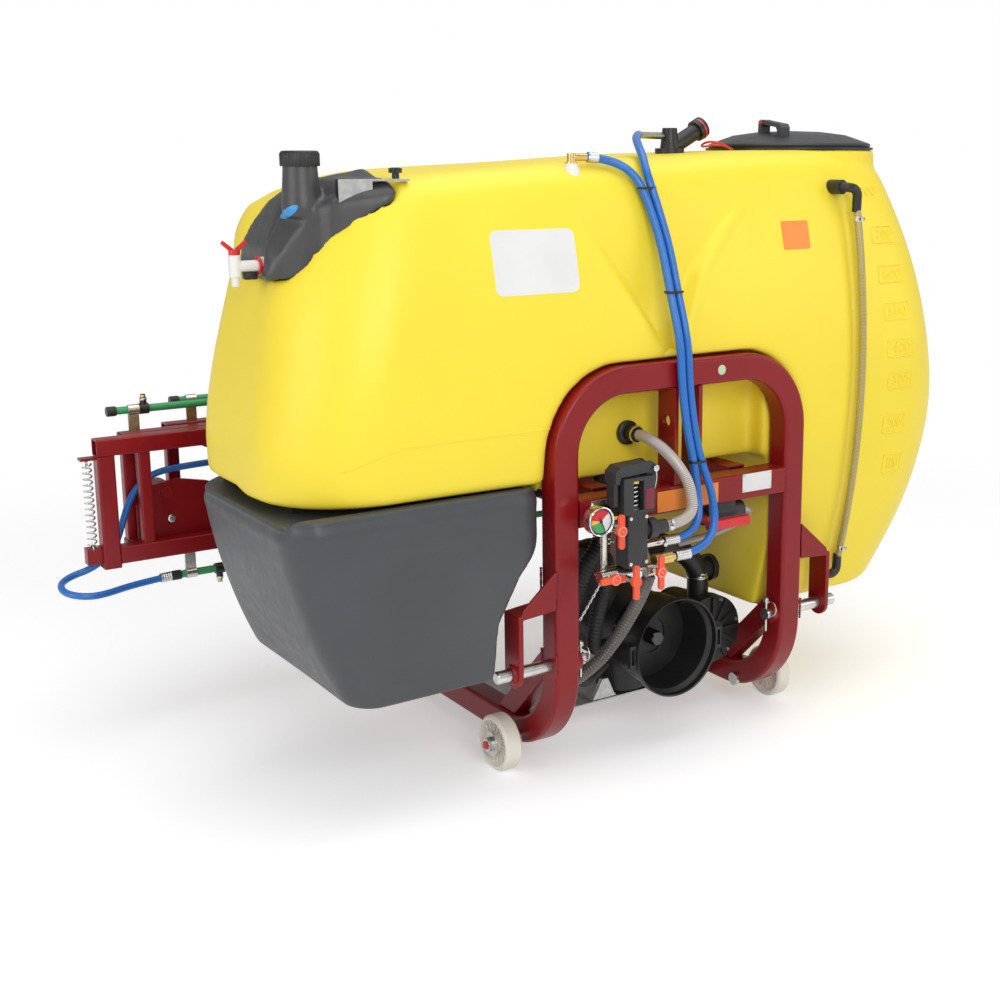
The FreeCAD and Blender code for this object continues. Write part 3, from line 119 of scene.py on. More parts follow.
class Shader(Net):
    """One Principled material, patterned in object space."""

    def __init__(self, name, colour, rough, metal=0.0, coat=0.0):
        self.material = bpy.data.materials.new(name)
        super().__init__(self.material)
        self.bsdf = self.tree.nodes["Principled BSDF"]
        self.colour = colour
        self.bsdf.inputs["Base Color"].default_value = (*colour, 1)
        self.bsdf.inputs["Roughness"].default_value = rough
        self.bsdf.inputs["Metallic"].default_value = metal
        self.bsdf.inputs["Coat Weight"].default_value = coat
        self.bsdf.inputs["Coat Roughness"].default_value = 0.12
        self.rough = rough
        self.height = None
        self.colour_out = None
        self.rough_out = None
        self.coords = self.add("ShaderNodeTexCoord").outputs["Object"]

    def noise(self, scale, detail=3.0, rough=0.55):
        node = self.add("ShaderNodeTexNoise")
        self.feed(node.inputs["Vector"], self.coords)
        node.inputs["Scale"].default_value = scale
        node.inputs["Detail"].default_value = detail
        node.inputs["Roughness"].default_value = rough
        return node.outputs["Fac"]

    def span(self, value, low, high, to_low=0.0, to_high=1.0):
        node = self.add("ShaderNodeMapRange", clamp=True)
        for key, item in (("Value", value), ("From Min", low), ("From Max", high),
                          ("To Min", to_low), ("To Max", to_high)):
            self.feed(node.inputs[key], item)
        return node.outputs[0]

    def blend(self, share, first, second):
        node = self.add("ShaderNodeMix", data_type="RGBA")
        self.feed(node.inputs[0], share)
        self.feed(node.inputs[6], first if not isinstance(first, tuple) else (*first, 1))
        self.feed(node.inputs[7], second if not isinstance(second, tuple) else (*second, 1))
        return node.outputs[2]

    def vary(self, amount, scale, rough_amount=0.08):
        """Soft clouds of lighter and darker colour, with the gloss following them."""
        cloud = self.noise(scale)
        dark = tuple(c * (1 - amount) for c in self.colour)
        light = tuple(min(1.0, c * (1 + amount)) for c in self.colour)
        self.colour_out = self.blend(self.span(cloud, 0.3, 0.7), dark, light)
        fine = self.noise(scale * 9, 4.0)
        self.rough_out = self.span(fine, 0.25, 0.75, self.rough - rough_amount,
                                   self.rough + rough_amount)
        return self

    def speckle(self, colour, scale, edge, strength=1.0):
        """Small spots of another colour where a fine noise rises above an edge."""
        spots = self.span(self.noise(scale, 2.0), edge, edge + 0.03, 0.0, strength)
        self.colour_out = self.blend(spots, self.colour_out, colour)
        return self

    def grain(self, scale, depth):
        """Raises the surface by a noise, depth in metres."""
        self.raise_by(self.math("MULTIPLY", self.noise(scale, 2.0), depth))
        return self

    def raise_by(self, height):
        self.height = height if self.height is None else self.math("ADD", self.height, height)

    def wear(self, colour, width, amount, rough):
        """Rubbed edges, found by comparing the face's normal with a rounded one."""
        bevel = self.add("ShaderNodeBevel", samples=3)
        bevel.inputs["Radius"].default_value = width
        geometry = self.add("ShaderNodeNewGeometry")
        dot = self.add("ShaderNodeVectorMath", operation="DOT_PRODUCT")
        self.feed(dot.inputs[0], bevel.outputs[0])
        self.feed(dot.inputs[1], geometry.outputs["Normal"])
        edge = self.span(dot.outputs["Value"], 0.97, 0.80)
        patchy = self.span(self.noise(55, 5.0, 0.65), 0.50, 0.66)
        mask = self.math("MULTIPLY", self.math("MULTIPLY", edge, patchy), amount)
        self.colour_out = self.blend(mask, self.colour_out, colour)
        mix = self.add("ShaderNodeMix", data_type="FLOAT")
        self.feed(mix.inputs[0], mask)
        self.feed(mix.inputs[2], self.rough_out)
        mix.inputs[3].default_value = rough
        self.rough_out = mix.outputs[0]
        return self

    def done(self):
        if self.colour_out is not None:
            self.feed(self.bsdf.inputs["Base Color"], self.colour_out)
        if self.rough_out is not None:
            self.feed(self.bsdf.inputs["Roughness"], self.rough_out)
        if self.height is not None:
            bump = self.add("ShaderNodeBump")
            bump.inputs["Distance"].default_value = 1.0
            bump.inputs["Strength"].default_value = 1.0
            self.feed(bump.inputs["Height"], self.height)
            self.feed(self.bsdf.inputs["Normal"], bump.outputs[0])
        return self.material


def plastic(name, colour, rough, vary=0.08, grain=900.0, depth=0.00006, coat=0.0):
    shader = Shader(name, colour, rough, 0.0, coat)
    return shader.vary(vary, 7.0).grain(grain, depth).done()


def metal(name, colour, rough, vary=0.1, depth=0.00003, scale=60.0):
    shader = Shader(name, colour, rough, 1.0)
    return shader.vary(vary, scale, 0.09).grain(700.0, depth).done()


def make_paint():
    shader = Shader("frame_red", (0.235, 0.0045, 0.0075), 0.36, 0.0, 0.12)
    shader.bsdf.inputs["Specular IOR Level"].default_value = 0.32
    shader.vary(0.10, 5.0, 0.06)
    shader.speckle((0.33, 0.02, 0.025), 260.0, 0.70, 0.5)
    shader.wear((0.33, 0.19, 0.17), 0.0035, 0.55, 0.5)
    return shader.grain(230.0, 0.00010).grain(40.0, 0.00025).done()


def make_yellow():
    shader = Shader("tank_yellow", (0.93, 0.735, 0.046), 0.42)
    shader.vary(0.025, 3.0, 0.05)
    shader.speckle((0.80, 0.60, 0.04), 420.0, 0.74, 0.35)
    shader.bsdf.inputs["Specular IOR Level"].default_value = 0.42
    return shader.grain(420.0, 0.00007).grain(30.0, 0.00022).done()


def make_grey():
    shader = Shader("tank_grey", (0.056, 0.061, 0.067), 0.44)
    shader.vary(0.10, 4.0, 0.06)
    shader.speckle((0.13, 0.14, 0.155), 520.0, 0.70, 0.5)
    return shader.grain(520.0, 0.00012).grain(60.0, 0.00018).done()


def braided(name, base, thread, count, per_turn, rough, coat=0.2, share=0.22, depth=0.0002,
            ways=("ADD", "SUBTRACT")):
    """Crossed threads laid on a hose, from its own UV map: U once round, V along."""
    shader = Shader(name, base, rough, 0.0, coat)
    shader.vary(0.06, 12.0, 0.05)
    split = shader.add("ShaderNodeSeparateXYZ")
    shader.feed(split.inputs[0], shader.add("ShaderNodeTexCoord").outputs["UV"])
    around = shader.math("MULTIPLY", split.outputs[0], float(count))
    along = shader.math("MULTIPLY", split.outputs[1], float(per_turn))
    marks = []
    for sign in ways:
        line = shader.math("FRACT", shader.math(sign, around, along))
        near = shader.math("ABSOLUTE", shader.math("SUBTRACT", line, 0.5))
        marks.append(shader.span(near, share * 0.5, share * 0.5 + 0.08, 1.0, 0.0))
    mask = shader.math("MAXIMUM", marks[0], marks[-1])
    shader.colour_out = shader.blend(mask, shader.colour_out, thread)
    shader.raise_by(shader.math("MULTIPLY", mask, depth))
    return shader.done()


# Material: name, colour, roughness, then variation, grain size, grain depth, coat
plastics = {
    "black": ("black_plastic", (0.012, 0.0115, 0.0115), 0.42, 0.2, 700.0, 0.00010),
    "black_soft": ("black_rubber", (0.020, 0.020, 0.021), 0.60, 0.2, 500.0, 0.00012),
    "black_cast": ("black_cast", (0.026, 0.026, 0.029), 0.50, 0.25, 260.0, 0.0004),
    "basket": ("basket_plastic", (0.10, 0.10, 0.10), 0.5),
    "white_wheel": ("wheel_white", (0.84, 0.79, 0.70), 0.38, 0.06, 300.0, 0.00012),
    "tap_white": ("tap_white", (0.80, 0.79, 0.76), 0.32, 0.04),
    "orange": ("lever_orange", (0.83, 0.085, 0.025), 0.34, 0.08, 500.0, 0.00006, 0.2),
    "handle_red": ("handle_red", (0.62, 0.012, 0.018), 0.34, 0.10, 400.0, 0.00008, 0.2),
    "green": ("pipe_green", (0.040, 0.33, 0.115), 0.40, 0.10),
    "plate": ("plate_plain", (0.76, 0.76, 0.75), 0.35, 0.04),
    "plate_orange": ("plate_orange", (0.87, 0.26, 0.035), 0.38, 0.05),
    "wash_grey": ("wash_grey", (0.050, 0.051, 0.053), 0.40, 0.12, 420.0, 0.00014),
    "lid_grey": ("lid_grey", (0.034, 0.035, 0.038), 0.40, 0.2, 420.0, 0.00014),
    "blue_plain": ("blue_plain", (0.045, 0.30, 0.68), 0.35, 0.06),
    "pale_green": ("pale_green", (0.52, 0.66, 0.42), 0.40, 0.05),
    "patch_red": ("patch_red", (0.20, 0.012, 0.030), 0.42, 0.08),
    "bolt_red": ("bolt_red", (0.60, 0.020, 0.018), 0.34, 0.08),
    "orange_pale": ("orange_pale", (0.88, 0.23, 0.16), 0.34, 0.06),
    "gauge_red": ("gauge_red", (0.62, 0.020, 0.025), 0.30, 0.03),
    "gauge_white": ("gauge_white", (0.78, 0.78, 0.78), 0.30, 0.03),
    "gauge_green": ("gauge_green", (0.045, 0.36, 0.12), 0.30, 0.03),
    "gauge_yellow": ("gauge_yellow", (0.86, 0.52, 0.045), 0.30, 0.03),
    "spiral": ("hose_spiral", (0.105, 0.088, 0.078), 0.30, 0.12, 500.0, 0.00008, 0.2),
}
# Material: name, colour, roughness, then variation, grain depth, cloud size
metals = {
    "zinc": ("zinc_steel", (0.60, 0.60, 0.585), 0.30, 0.14, 0.00005),
    "brass": ("brass", (0.66, 0.46, 0.18), 0.28, 0.12, 0.00004),
    "nickel": ("nickel", (0.66, 0.63, 0.57), 0.24, 0.12, 0.00005),
    "gold": ("gold_nut", (0.80, 0.55, 0.14), 0.25),
    "cast": ("cast_alloy", (0.56, 0.56, 0.55), 0.45, 0.15, 0.0003, 90.0),
    "chrome": ("gauge_chrome", (0.78, 0.78, 0.78), 0.10, 0.05, 0.00001),
    "zinc_dull": ("zinc_dull", (0.34, 0.34, 0.33), 0.46, 0.14, 0.00006),
    "dark_steel": ("dark_steel", (0.10, 0.10, 0.105), 0.42),
}
# Material: name, base, thread, threads round, turns per width, roughness, coat, then share of
# the width, depth and the ways the threads run
hose_weaves = {
    "blue": ("hose_blue", (0.008, 0.125, 0.46), (0.012, 0.17, 0.58), 10, 2.4, 0.33, 0.25, 0.16,
             0.00012),
    "clear": ("hose_clear", (0.33, 0.275, 0.25), (0.60, 0.56, 0.52), 1, 19.6, 0.20, 0.6, 0.36,
              0.00010, ("ADD",)),
    "level": ("level_hose", (0.50, 0.385, 0.085), (0.24, 0.20, 0.11), 1, 17.0, 0.24, 0.5, 0.30,
              0.00010, ("ADD",)),
}
mats = {}


def make_materials():
    mats["red"] = make_paint()
    mats["yellow"] = make_yellow()
    mats["grey"] = make_grey()
    for maker, table in ((plastic, plastics), (metal, metals), (braided, hose_weaves)):
        for key, settings in table.items():
            mats[key] = maker(*settings)


default_material = {
    "frame_red": "red", "tank_yellow": "yellow", "tank_grey": "grey", "black_plastic": "black",
    "basket_plastic": "basket", "zinc_steel": "zinc", "brass": "brass", "cast_alloy": "cast",
    "wheel_white": "white_wheel", "tap_white": "tap_white", "lever_orange": "orange",
    "handle_red": "handle_red", "gauge_chrome": "chrome", "hose_blue": "blue",
    "hose_clear": "clear", "pipe_green": "green", "plate_plain": "plate",
}
node_body = {n: b for b, ns in frame["record"]["behaviour"]["bodies"].items() for n in ns}
node_slot = {s["node"]: s["material_slot"] for s in frame["record"]["subparts"]}


def add_object(name, mesh, key, replaced, body="chassis"):
    """Skin or hose in one material, in the place of a CAD node."""
    piece = placed(name, mesh)
    mesh.materials.clear()
    mesh.materials.append(mats[key])
    mesh.shade_smooth()
    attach(piece, body)
    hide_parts(replaced)
    return piece


def soften(piece, width, segments, angle):
    """Rounded edges that catch the light, as on real welded and moulded parts."""
    weld = piece.modifiers.new("weld", "WELD")
    weld.merge_threshold = MERGE
    bevel = piece.modifiers.new("bevel", "BEVEL")
    bevel.width = width
    bevel.segments = segments
    bevel.limit_method = "ANGLE"
    bevel.angle_limit = math.radians(angle)
    bevel.harden_normals = False
    bevel.use_clamp_overlap = True
    normals = piece.modifiers.new("normals", "WEIGHTED_NORMAL")
    normals.keep_sharp = False


def dress_nodes():
    """Every carried-over CAD node gets its finish."""
    for name, piece in nodes.items():
        key = default_material[node_slot[name]]
        piece.data.materials.clear()
        piece.data.materials.append(mats[key])
        piece.data.shade_smooth()


# Surroundings
def make_floor():
    """Pale ground that fades to white away from the machine."""
    bm = bmesh.new()
    bmesh.ops.create_circle(bm, cap_ends=True, segments=96, radius=40.0)
    mesh = baked(bm, "floor")
    floor = placed("floor", mesh)
    material = bpy.data.materials.new("floor")
    net = Net(material)
    bsdf = net.tree.nodes["Principled BSDF"]
    for key, value in (("Base Color", (0.86, 0.86, 0.865, 1)), ("Roughness", 0.9),
                       ("Specular IOR Level", 0.1), ("Emission Color", (1, 1, 1, 1))):
        bsdf.inputs[key].default_value = value
    rays = net.add("ShaderNodeLightPath").outputs
    seen = net.math("MAXIMUM", rays["Is Camera Ray"], rays["Is Glossy Ray"])
    net.feed(bsdf.inputs["Emission Strength"], net.math("MULTIPLY", seen, 0.34))
    distance = net.add("ShaderNodeVectorMath", operation="LENGTH")
    net.feed(distance.inputs[0], net.add("ShaderNodeTexCoord").outputs["Object"])
    far = net.add("ShaderNodeMapRange", interpolation_type="SMOOTHSTEP")
    far.inputs["From Min"].default_value = 1.3
    far.inputs["From Max"].default_value = 3.4
    net.feed(far.inputs["Value"], distance.outputs["Value"])
    mix = net.add("ShaderNodeMixShader")
    white = net.add("ShaderNodeEmission")
    for socket, value in zip(mix.inputs, (net.math("MULTIPLY", far.outputs[0], seen),
                                          bsdf.outputs[0], white.outputs[0])):
        net.feed(socket, value)
    net.feed(net.tree.nodes["Material Output"].inputs["Surface"], mix.outputs[0])
    mesh.materials.append(material)


def make_world():
    """White to the eye, soft grey as a lamp."""
    world = bpy.data.worlds.new("studio")
    scene.world = world
    net = Net(world)
    rays = net.add("ShaderNodeLightPath").outputs
    seen = net.math("MAXIMUM", rays["Is Camera Ray"], rays["Is Transmission Ray"])
    seen = net.math("MAXIMUM", seen, net.math("MULTIPLY", rays["Is Glossy Ray"], 0.15))
    mix = net.add("ShaderNodeMix", data_type="FLOAT")
    mix.inputs[2].default_value = 0.36
    mix.inputs[3].default_value = 1.0
    net.feed(mix.inputs[0], seen)
    back = net.tree.nodes["Background"]
    back.inputs["Color"].default_value = (1, 1, 1, 1)
    net.feed(back.inputs["Strength"], mix.outputs[0])


def lamp(name, place, target, size, watts):
    data = bpy.data.lights.new(name, "AREA")
    data.shape = "RECTANGLE"
    data.size, data.size_y = size
    data.energy = watts
    light = placed(name, data)
    aim = Vector(target) - Vector(place)
    light.matrix_world = (Matrix.Translation(place)
                          @ aim.to_track_quat("-Z", "Y").to_matrix().to_4x4())


def make_light():
    make_world()
    lamp("top", (0.3, -0.4, 4.2), (0.0, 0.0, 0.4), (4.5, 3.5), 84.0)
    lamp("key", (-1.4, -4.6, 2.7), (0.0, 0.0, 0.6), (2.6, 2.2), 88.0)
    lamp("fill", (3.6, -3.4, 2.0), (0.0, 0.0, 0.6), (2.6, 2.2), 30.0)
    lamp("left", (-4.6, -0.9, 1.9), (-0.6, 0.0, 0.7), (2.6, 2.0), 52.0)


# Moulded tanks: the CAD shell's outer skin, remeshed fine and given its moulded relief
def smooth_step(share):
    share = np.clip(share, 0.0, 1.0)
    return share * share * (3 - 2 * share)


def outer_skin(node, centre, radius, axis, level):
    """Outer faces of a shell, its mouth closed: a bore round centre, open at level."""
    bm = bmesh.new()
    bm.from_mesh(nodes[node].data)
    bmesh.ops.remove_doubles(bm, verts=bm.verts, dist=MERGE)
    others = [i for i in range(3) if i != axis]

    def off_axis(vert):
        return math.dist([vert.co[i] for i in others], [centre[i] for i in others])

    def on_rim(face):
        return all(abs(v.co[axis] - level) < 0.0001 for v in face.verts)

    todo = [f for f in bm.faces if not on_rim(f)
            and all(abs(off_axis(v) - radius) < 0.0004 for v in f.verts)]
    inside = set(todo)
    while todo:
        face = todo.pop()
        for edge in face.edges:
            for other in edge.link_faces:
                if other not in inside and not on_rim(other):
                    inside.add(other)
                    todo.append(other)
    bmesh.ops.delete(bm, geom=list(inside), context="FACES")
    border = [e for e in bm.edges if e.is_boundary]
    bmesh.ops.contextual_create(bm, geom=border)
    bmesh.ops.triangulate(bm, faces=bm.faces)
    return baked(bm, node + "_skin")


def remeshed(mesh, voxel):
    """Even quads over a closed mesh."""
    thing = placed("remesh", mesh)
    modifier = thing.modifiers.new("remesh", "REMESH")
    modifier.mode = "VOXEL"
    modifier.voxel_size = voxel
    bpy.context.view_layer.update()
    result = bpy.data.meshes.new_from_object(
        thing.evaluated_get(bpy.context.evaluated_depsgraph_get()))
    bpy.data.objects.remove(thing)
    return result


def read_points(mesh):
    points = np.zeros(len(mesh.vertices) * 3)
    mesh.vertices.foreach_get("co", points)
    return points.reshape(-1, 3)


def write_points(mesh, points):
    mesh.vertices.foreach_set("co", points.astype(np.float32).ravel())
    mesh.update()


def read_normals(mesh):
    normals = np.zeros(len(mesh.vertices) * 3)
    mesh.vertices.foreach_get("normal", normals)
    return normals.reshape(-1, 3)


def relax(mesh, rounds, weight=None):
    """Rounds off a mesh; weight says how much each point takes part."""
    edges = np.zeros(len(mesh.edges) * 2, np.int64)
    mesh.edges.foreach_get("vertices", edges)
    a, b = edges.reshape(-1, 2).T
    points = read_points(mesh)
    count = len(points)
    degree = np.maximum(np.bincount(a, minlength=count) + np.bincount(b, minlength=count), 1)
    share = np.full(count, 0.5) if weight is None else 0.5 * weight
    for _ in range(rounds):
        for k in range(3):
            total = (np.bincount(a, points[b, k], count) + np.bincount(b, points[a, k], count))
            points[:, k] += (total / degree - points[:, k]) * share
    write_points(mesh, points)


def build_millimetres(mesh):
    return read_points(mesh) * 1000 + (0, REAR, 0)


def seam_height(x):
    return 740.0 + 41.0 * smooth_step((x + 806.0) / 130.0)


def line_at(z, points):
    """X of a line given as (x, z) points from low to high."""
    heights = [p[1] for p in points]
    return np.interp(z, heights, [p[0] for p in points])


# Edges of the hollow over the bow, as (x, z) from low to high
v_left = ((-59, 923), (-282, 1240))
v_right = ((3, 932), (30, 1010), (64, 1085), (140, 1172), (239, 1257))


# Depths and shifts of the moulded forms, in millimetres
HOLLOW_DEPTH, BROW_HEIGHT, GROOVE_DEPTH = 34.0, 5.0, 10.0
UPPER_LEFT_OUT, REAR_LEFT_DOWN, LOWER_LIP_DOWN = 18, 12, 14
RINSE_RIM_UP, RINSE_PANEL_DEPTH = 16, 3.0
WASH_SHOULDER_OUT, WASH_WALL_OUT, WASH_ARM_DOWN = 9.0, 6.5, 7
# Sizes of the tank skins' quads, in metres
TANK_VOXEL, RINSE_VOXEL, WASH_VOXEL = 0.0065, 0.0055, 0.0040


def tank_relief(mesh):
    """Parting line, the V hollow over the bow, the sight tube's groove and the lower lip."""
    p = build_millimetres(mesh)
    x, y, z = p.T
    n = read_normals(mesh)
    front = smooth_step((-n[:, 1] - 0.35) / 0.3) * smooth_step((230 - y) / 60)
    depth = HOLLOW_DEPTH * smooth_step((1262 - z) / 260)
    inside_left = smooth_step((x - line_at(z, v_left)) / 48)
    inside_right = smooth_step((line_at(z, v_right) - x) / 20)
    brow = BROW_HEIGHT * np.exp(-((line_at(z, v_right) - x + 12) / 13) ** 2)
    brow *= smooth_step((z - 905) / 30) * smooth_step((1240 - z) / 40)
    hollow = depth * np.minimum(inside_left, inside_right) * smooth_step((z - 868) / 30)
    groove = GROOVE_DEPTH * smooth_step(1 - np.abs(x - 526) / 30) * smooth_step((1262 - z) / 40)
    groove *= smooth_step((z - 300) / 30)
    seam = seam_height(x)
    lobe = (x < -342) & (z > 660)
    below = np.where(lobe, smooth_step((seam - z) / 9), 0.0)
    line = np.where(lobe, np.exp(-((z - seam) / 4.0) ** 2), 0.0)
    shift = (brow - hollow - groove) * front - 1.6 * below - 0.9 * line
    wave = 1.1 * np.sin(x / 97 + z / 131) * np.sin(z / 83 - y / 111)
    shift += wave * smooth_step((collar_distance(p) - 225) / 60)
    moved = read_points(mesh) + n * shift[:, None] / 1000
    back = smooth_step((y - 230) / 60)
    bulge = back * smooth_step((-700 - x) / 90) * np.exp(-((z - 1190) / 62) ** 2)
    moved[:, 0] -= UPPER_LEFT_OUT / 1000 * bulge
    fall = smooth_step((-540 - x) / 180) * smooth_step((z - 1225) / 40)
    moved[:, 2] -= REAR_LEFT_DOWN / 1000 * fall * smooth_step((y - 350) / 80)
    lip = (x < -342) * smooth_step((715 - z) / 60) * smooth_step((330 - y) / 60)
    moved[:, 2] -= LOWER_LIP_DOWN / 1000 * lip
    write_points(mesh, moved)


def collar_distance(p):
    return np.hypot(p[:, 0] - FILLER_X, p[:, 1] - FILLER_Y)


def neck_distance(x, y):
    return np.hypot(x - NECK_X, y - NECK_Y)


def make_tank():
    mesh = remeshed(outer_skin("main_tank", at(FILLER_X, FILLER_Y, 0), 0.201, 2, 1.342), TANK_VOXEL)
    p = build_millimetres(mesh)
    collar = (collar_distance(p) < 215) & (p[:, 2] > 1322)
    weight = np.where(collar, 0.12, 1.0)
    relax(mesh, 10, weight)
    p = build_millimetres(mesh)
    low_edge = smooth_step((725 - p[:, 2]) / 40) * (p[:, 0] < -330)
    low_edge = np.maximum(low_edge, smooth_step((330 - p[:, 2]) / 40))
    shoulder = smooth_step((p[:, 2] - 1130) / 50) * (collar_distance(p) > 235)
    seat = smooth_step((-590 - p[:, 0]) / 30) * smooth_step((p[:, 2] - 1090) / 30)
    relax(mesh, 12, low_edge)
    relax(mesh, 34, np.maximum(0.6 * shoulder, seat))
    tank_relief(mesh)
    relax(mesh, 2)
    return add_object("tank_body", mesh, "yellow", "main_tank")


def rinse_relief(mesh):
    p = build_millimetres(mesh)
    x, y, z = p.T
    n = read_normals(mesh)
    side = smooth_step((0.6 - np.abs(n[:, 2])) / 0.2)
    rim = smooth_step((z - 622) / 16)
    bead = np.exp(-((z - 616) / 7.0) ** 2)
    crease = np.exp(-((x + 846 - (z - 267) * -0.17 - 40) / 12.0) ** 2)
    crease *= smooth_step((90 - y) / 40)
    shift = -5.0 * rim * side + 1.6 * bead * side + 2.0 * crease * side
    panel = smooth_step((z - 300) / 40) * smooth_step((590 - z) / 30)
    panel *= smooth_step((x + 770) / 60) * smooth_step((-515 - x) / 40)
    panel *= smooth_step((60 - y) / 30)
    shift -= RINSE_PANEL_DEPTH * panel * side
    wave = 0.9 * np.sin(x / 71 + z / 97) * np.sin(z / 63 - y / 91)
    moved = read_points(mesh) + n * (shift + wave)[:, None] / 1000
    front_rim = smooth_step((58 - y) / 14) * smooth_step((z - 590) / 30)
    moved[:, 2] += RINSE_RIM_UP / 1000 * front_rim
    write_points(mesh, moved)


def make_rinse():
    mesh = remeshed(outer_skin("rinse_tank", at(-650, 0, 560), 0.040, 1, (662 - REAR) / 1000),
                    RINSE_VOXEL)
    relax(mesh, 9)
    rinse_relief(mesh)
    relax(mesh, 2)
    add_object("rinse_body", mesh, "grey", "rinse_tank")


# Where the hand wash tank ends on the tank's front, as (x, z) from its lower left up
wash_border = np.array(((-850, 1070), (-812, 1082), (-784, 1100), (-760, 1130), (-740, 1170),
                        (-712, 1203), (-676, 1228), (-645, 1252), (-628, 1285),
                        (-622, 1330)), float)


def border_distance(x, z):
    """Millimetres inside the hand wash tank's front border, less than nought outside it."""
    best = np.full(len(x), 1e6)
    sign = np.ones(len(x))
    for a, b in zip(wash_border[:-1], wash_border[1:]):
        way = b - a
        t = np.clip(((x - a[0]) * way[0] + (z - a[1]) * way[1]) / (way @ way), 0, 1)
        dx, dz = x - a[0] - t * way[0], z - a[1] - t * way[1]
        gap = np.hypot(dx, dz)
        nearer = gap < best
        best = np.where(nearer, gap, best)
        sign = np.where(nearer, np.sign(way[0] * dz - way[1] * dx), sign)
    return best * sign


def make_wash():
    mesh = remeshed(outer_skin("hand_wash_tank", at(NECK_X, NECK_Y, 0), 0.029, 2,
                               1.3342), WASH_VOXEL)
    x, y, z = build_millimetres(mesh).T
    neck = smooth_step((neck_distance(x, y) - 40) / 20)
    relax(mesh, 22, np.maximum(neck, 0.25))
    x, y, z = build_millimetres(mesh).T
    clear = smooth_step((neck_distance(x, y) - 44) / 25)
    out = WASH_SHOULDER_OUT * smooth_step((-775 - x) / 50) * smooth_step((z - 1120) / 40) * clear
    out += WASH_WALL_OUT * clear
    edge = border_distance(x, z)
    front = smooth_step((250 - y) / 50) * clear
    out -= 1.2 * np.clip(4.0 - edge, 0.0, 14.0) * front
    moved = read_points(mesh) + read_normals(mesh) * out[:, None] / 1000
    arm = smooth_step((x + 715) / 60) * smooth_step((z - 1225) / 25) * clear
    moved[:, 2] -= WASH_ARM_DOWN / 1000 * arm
    write_points(mesh, moved)
    relax(mesh, 1)
    return add_object("wash_body", mesh, "wash_grey", "hand_wash_tank")


# Hoses and rounded rods
def smooth_line(points, order=4):
    """Even points along a NURBS curve through the route's control points, in metres."""
    data = bpy.data.curves.new("line", "CURVE")
    data.dimensions = "3D"
    data.resolution_u = 24
    spline = data.splines.new("NURBS")
    spline.points.add(len(points) - 1)
    for point, place in zip(spline.points, points):
        point.co = (*at(*place), 1)
    spline.order_u = min(order, len(points))
    spline.use_endpoint_u = True
    thing = placed("line", data)
    bpy.context.view_layer.update()
    mesh = bpy.data.meshes.new_from_object(thing)
    line = read_points(mesh)
    bpy.data.objects.remove(thing)
    bpy.data.meshes.remove(mesh)
    return line


def resampled(line, step):
    runs = np.linalg.norm(np.diff(line, axis=0), axis=1)
    total = np.concatenate([[0], np.cumsum(runs)])
    count = max(2, int(total[-1] / step) + 1)
    along = np.linspace(0, total[-1], count)
    return np.stack([np.interp(along, total, line[:, k]) for k in range(3)], 1), along


def tube_mesh(name, line, radius, step=0.006, sides=20, profile=None, bore=0.0):
    """Tube round a line. profile gives the radius at a distance along it, bore opens its ends."""
    points, along = resampled(line, step)
    count = len(points)
    tangents = np.gradient(points, axis=0)
    tangents /= np.linalg.norm(tangents, axis=1)[:, None]
    up = np.array([0.0, 0.0, 1.0]) if abs(tangents[0][2]) < 0.9 else np.array([1.0, 0.0, 0.0])
    frames = []
    for tangent in tangents:
        up = up - tangent * up.dot(tangent)
        up /= np.linalg.norm(up)
        frames.append((up.copy(), np.cross(tangent, up)))
    sizes = np.array([profile(s) if profile else radius for s in along])
    rows = [(points[i], frames[i], sizes[i]) for i in range(count)]
    if bore:
        for i in (count - 1, 0):
            inward = -tangents[i] if i else tangents[i]
            rim = [(points[i], frames[i], bore), (points[i] + inward * radius, frames[i], bore)]
            rows = rows + rim if i else rim[::-1] + rows
    bm = bmesh.new()
    uv = bm.loops.layers.uv.new("UVMap")
    angles = np.linspace(0, TURN, sides, endpoint=False)
    loops = []
    for centre, (u, v), size in rows:
        ring = centre + size * (np.cos(angles)[:, None] * u + np.sin(angles)[:, None] * v)
        loops.append([bm.verts.new(p) for p in ring])
    scale = 1.0 / (TURN * radius)
    places = np.concatenate([[0], np.cumsum([np.linalg.norm(rows[i + 1][0] - rows[i][0])
                                              for i in range(len(rows) - 1)])])
    for i in range(len(rows) - 1):
        for j in range(sides):
            k = (j + 1) % sides
            face = bm.faces.new((loops[i][j], loops[i][k], loops[i + 1][k], loops[i + 1][j]))
            across = (j / sides, (j + 1) / sides, (j + 1) / sides, j / sides)
            length = (places[i], places[i], places[i + 1], places[i + 1])
            for loop, a, b in zip(face.loops, across, length):
                loop[uv].uv = (a, b * scale)
    bm.faces.new(loops[0][::-1])
    bm.faces.new(loops[-1])
    bmesh.ops.recalc_face_normals(bm, faces=bm.faces)
    return baked(bm, name)


def merged(name, meshes):
    """One mesh out of several."""
    bm = bmesh.new()
    for mesh in meshes:
        bm.from_mesh(mesh)
        bpy.data.meshes.remove(mesh)
    return baked(bm, name)


def with_material(mesh, index):
    mesh.polygons.foreach_set("material_index", [index] * len(mesh.polygons))
    return mesh


def ribbed(radius, depth, pitch):
    def size(s):
        return radius - depth * (0.5 + 0.5 * math.cos(TURN * s / pitch)) ** 2
    return size


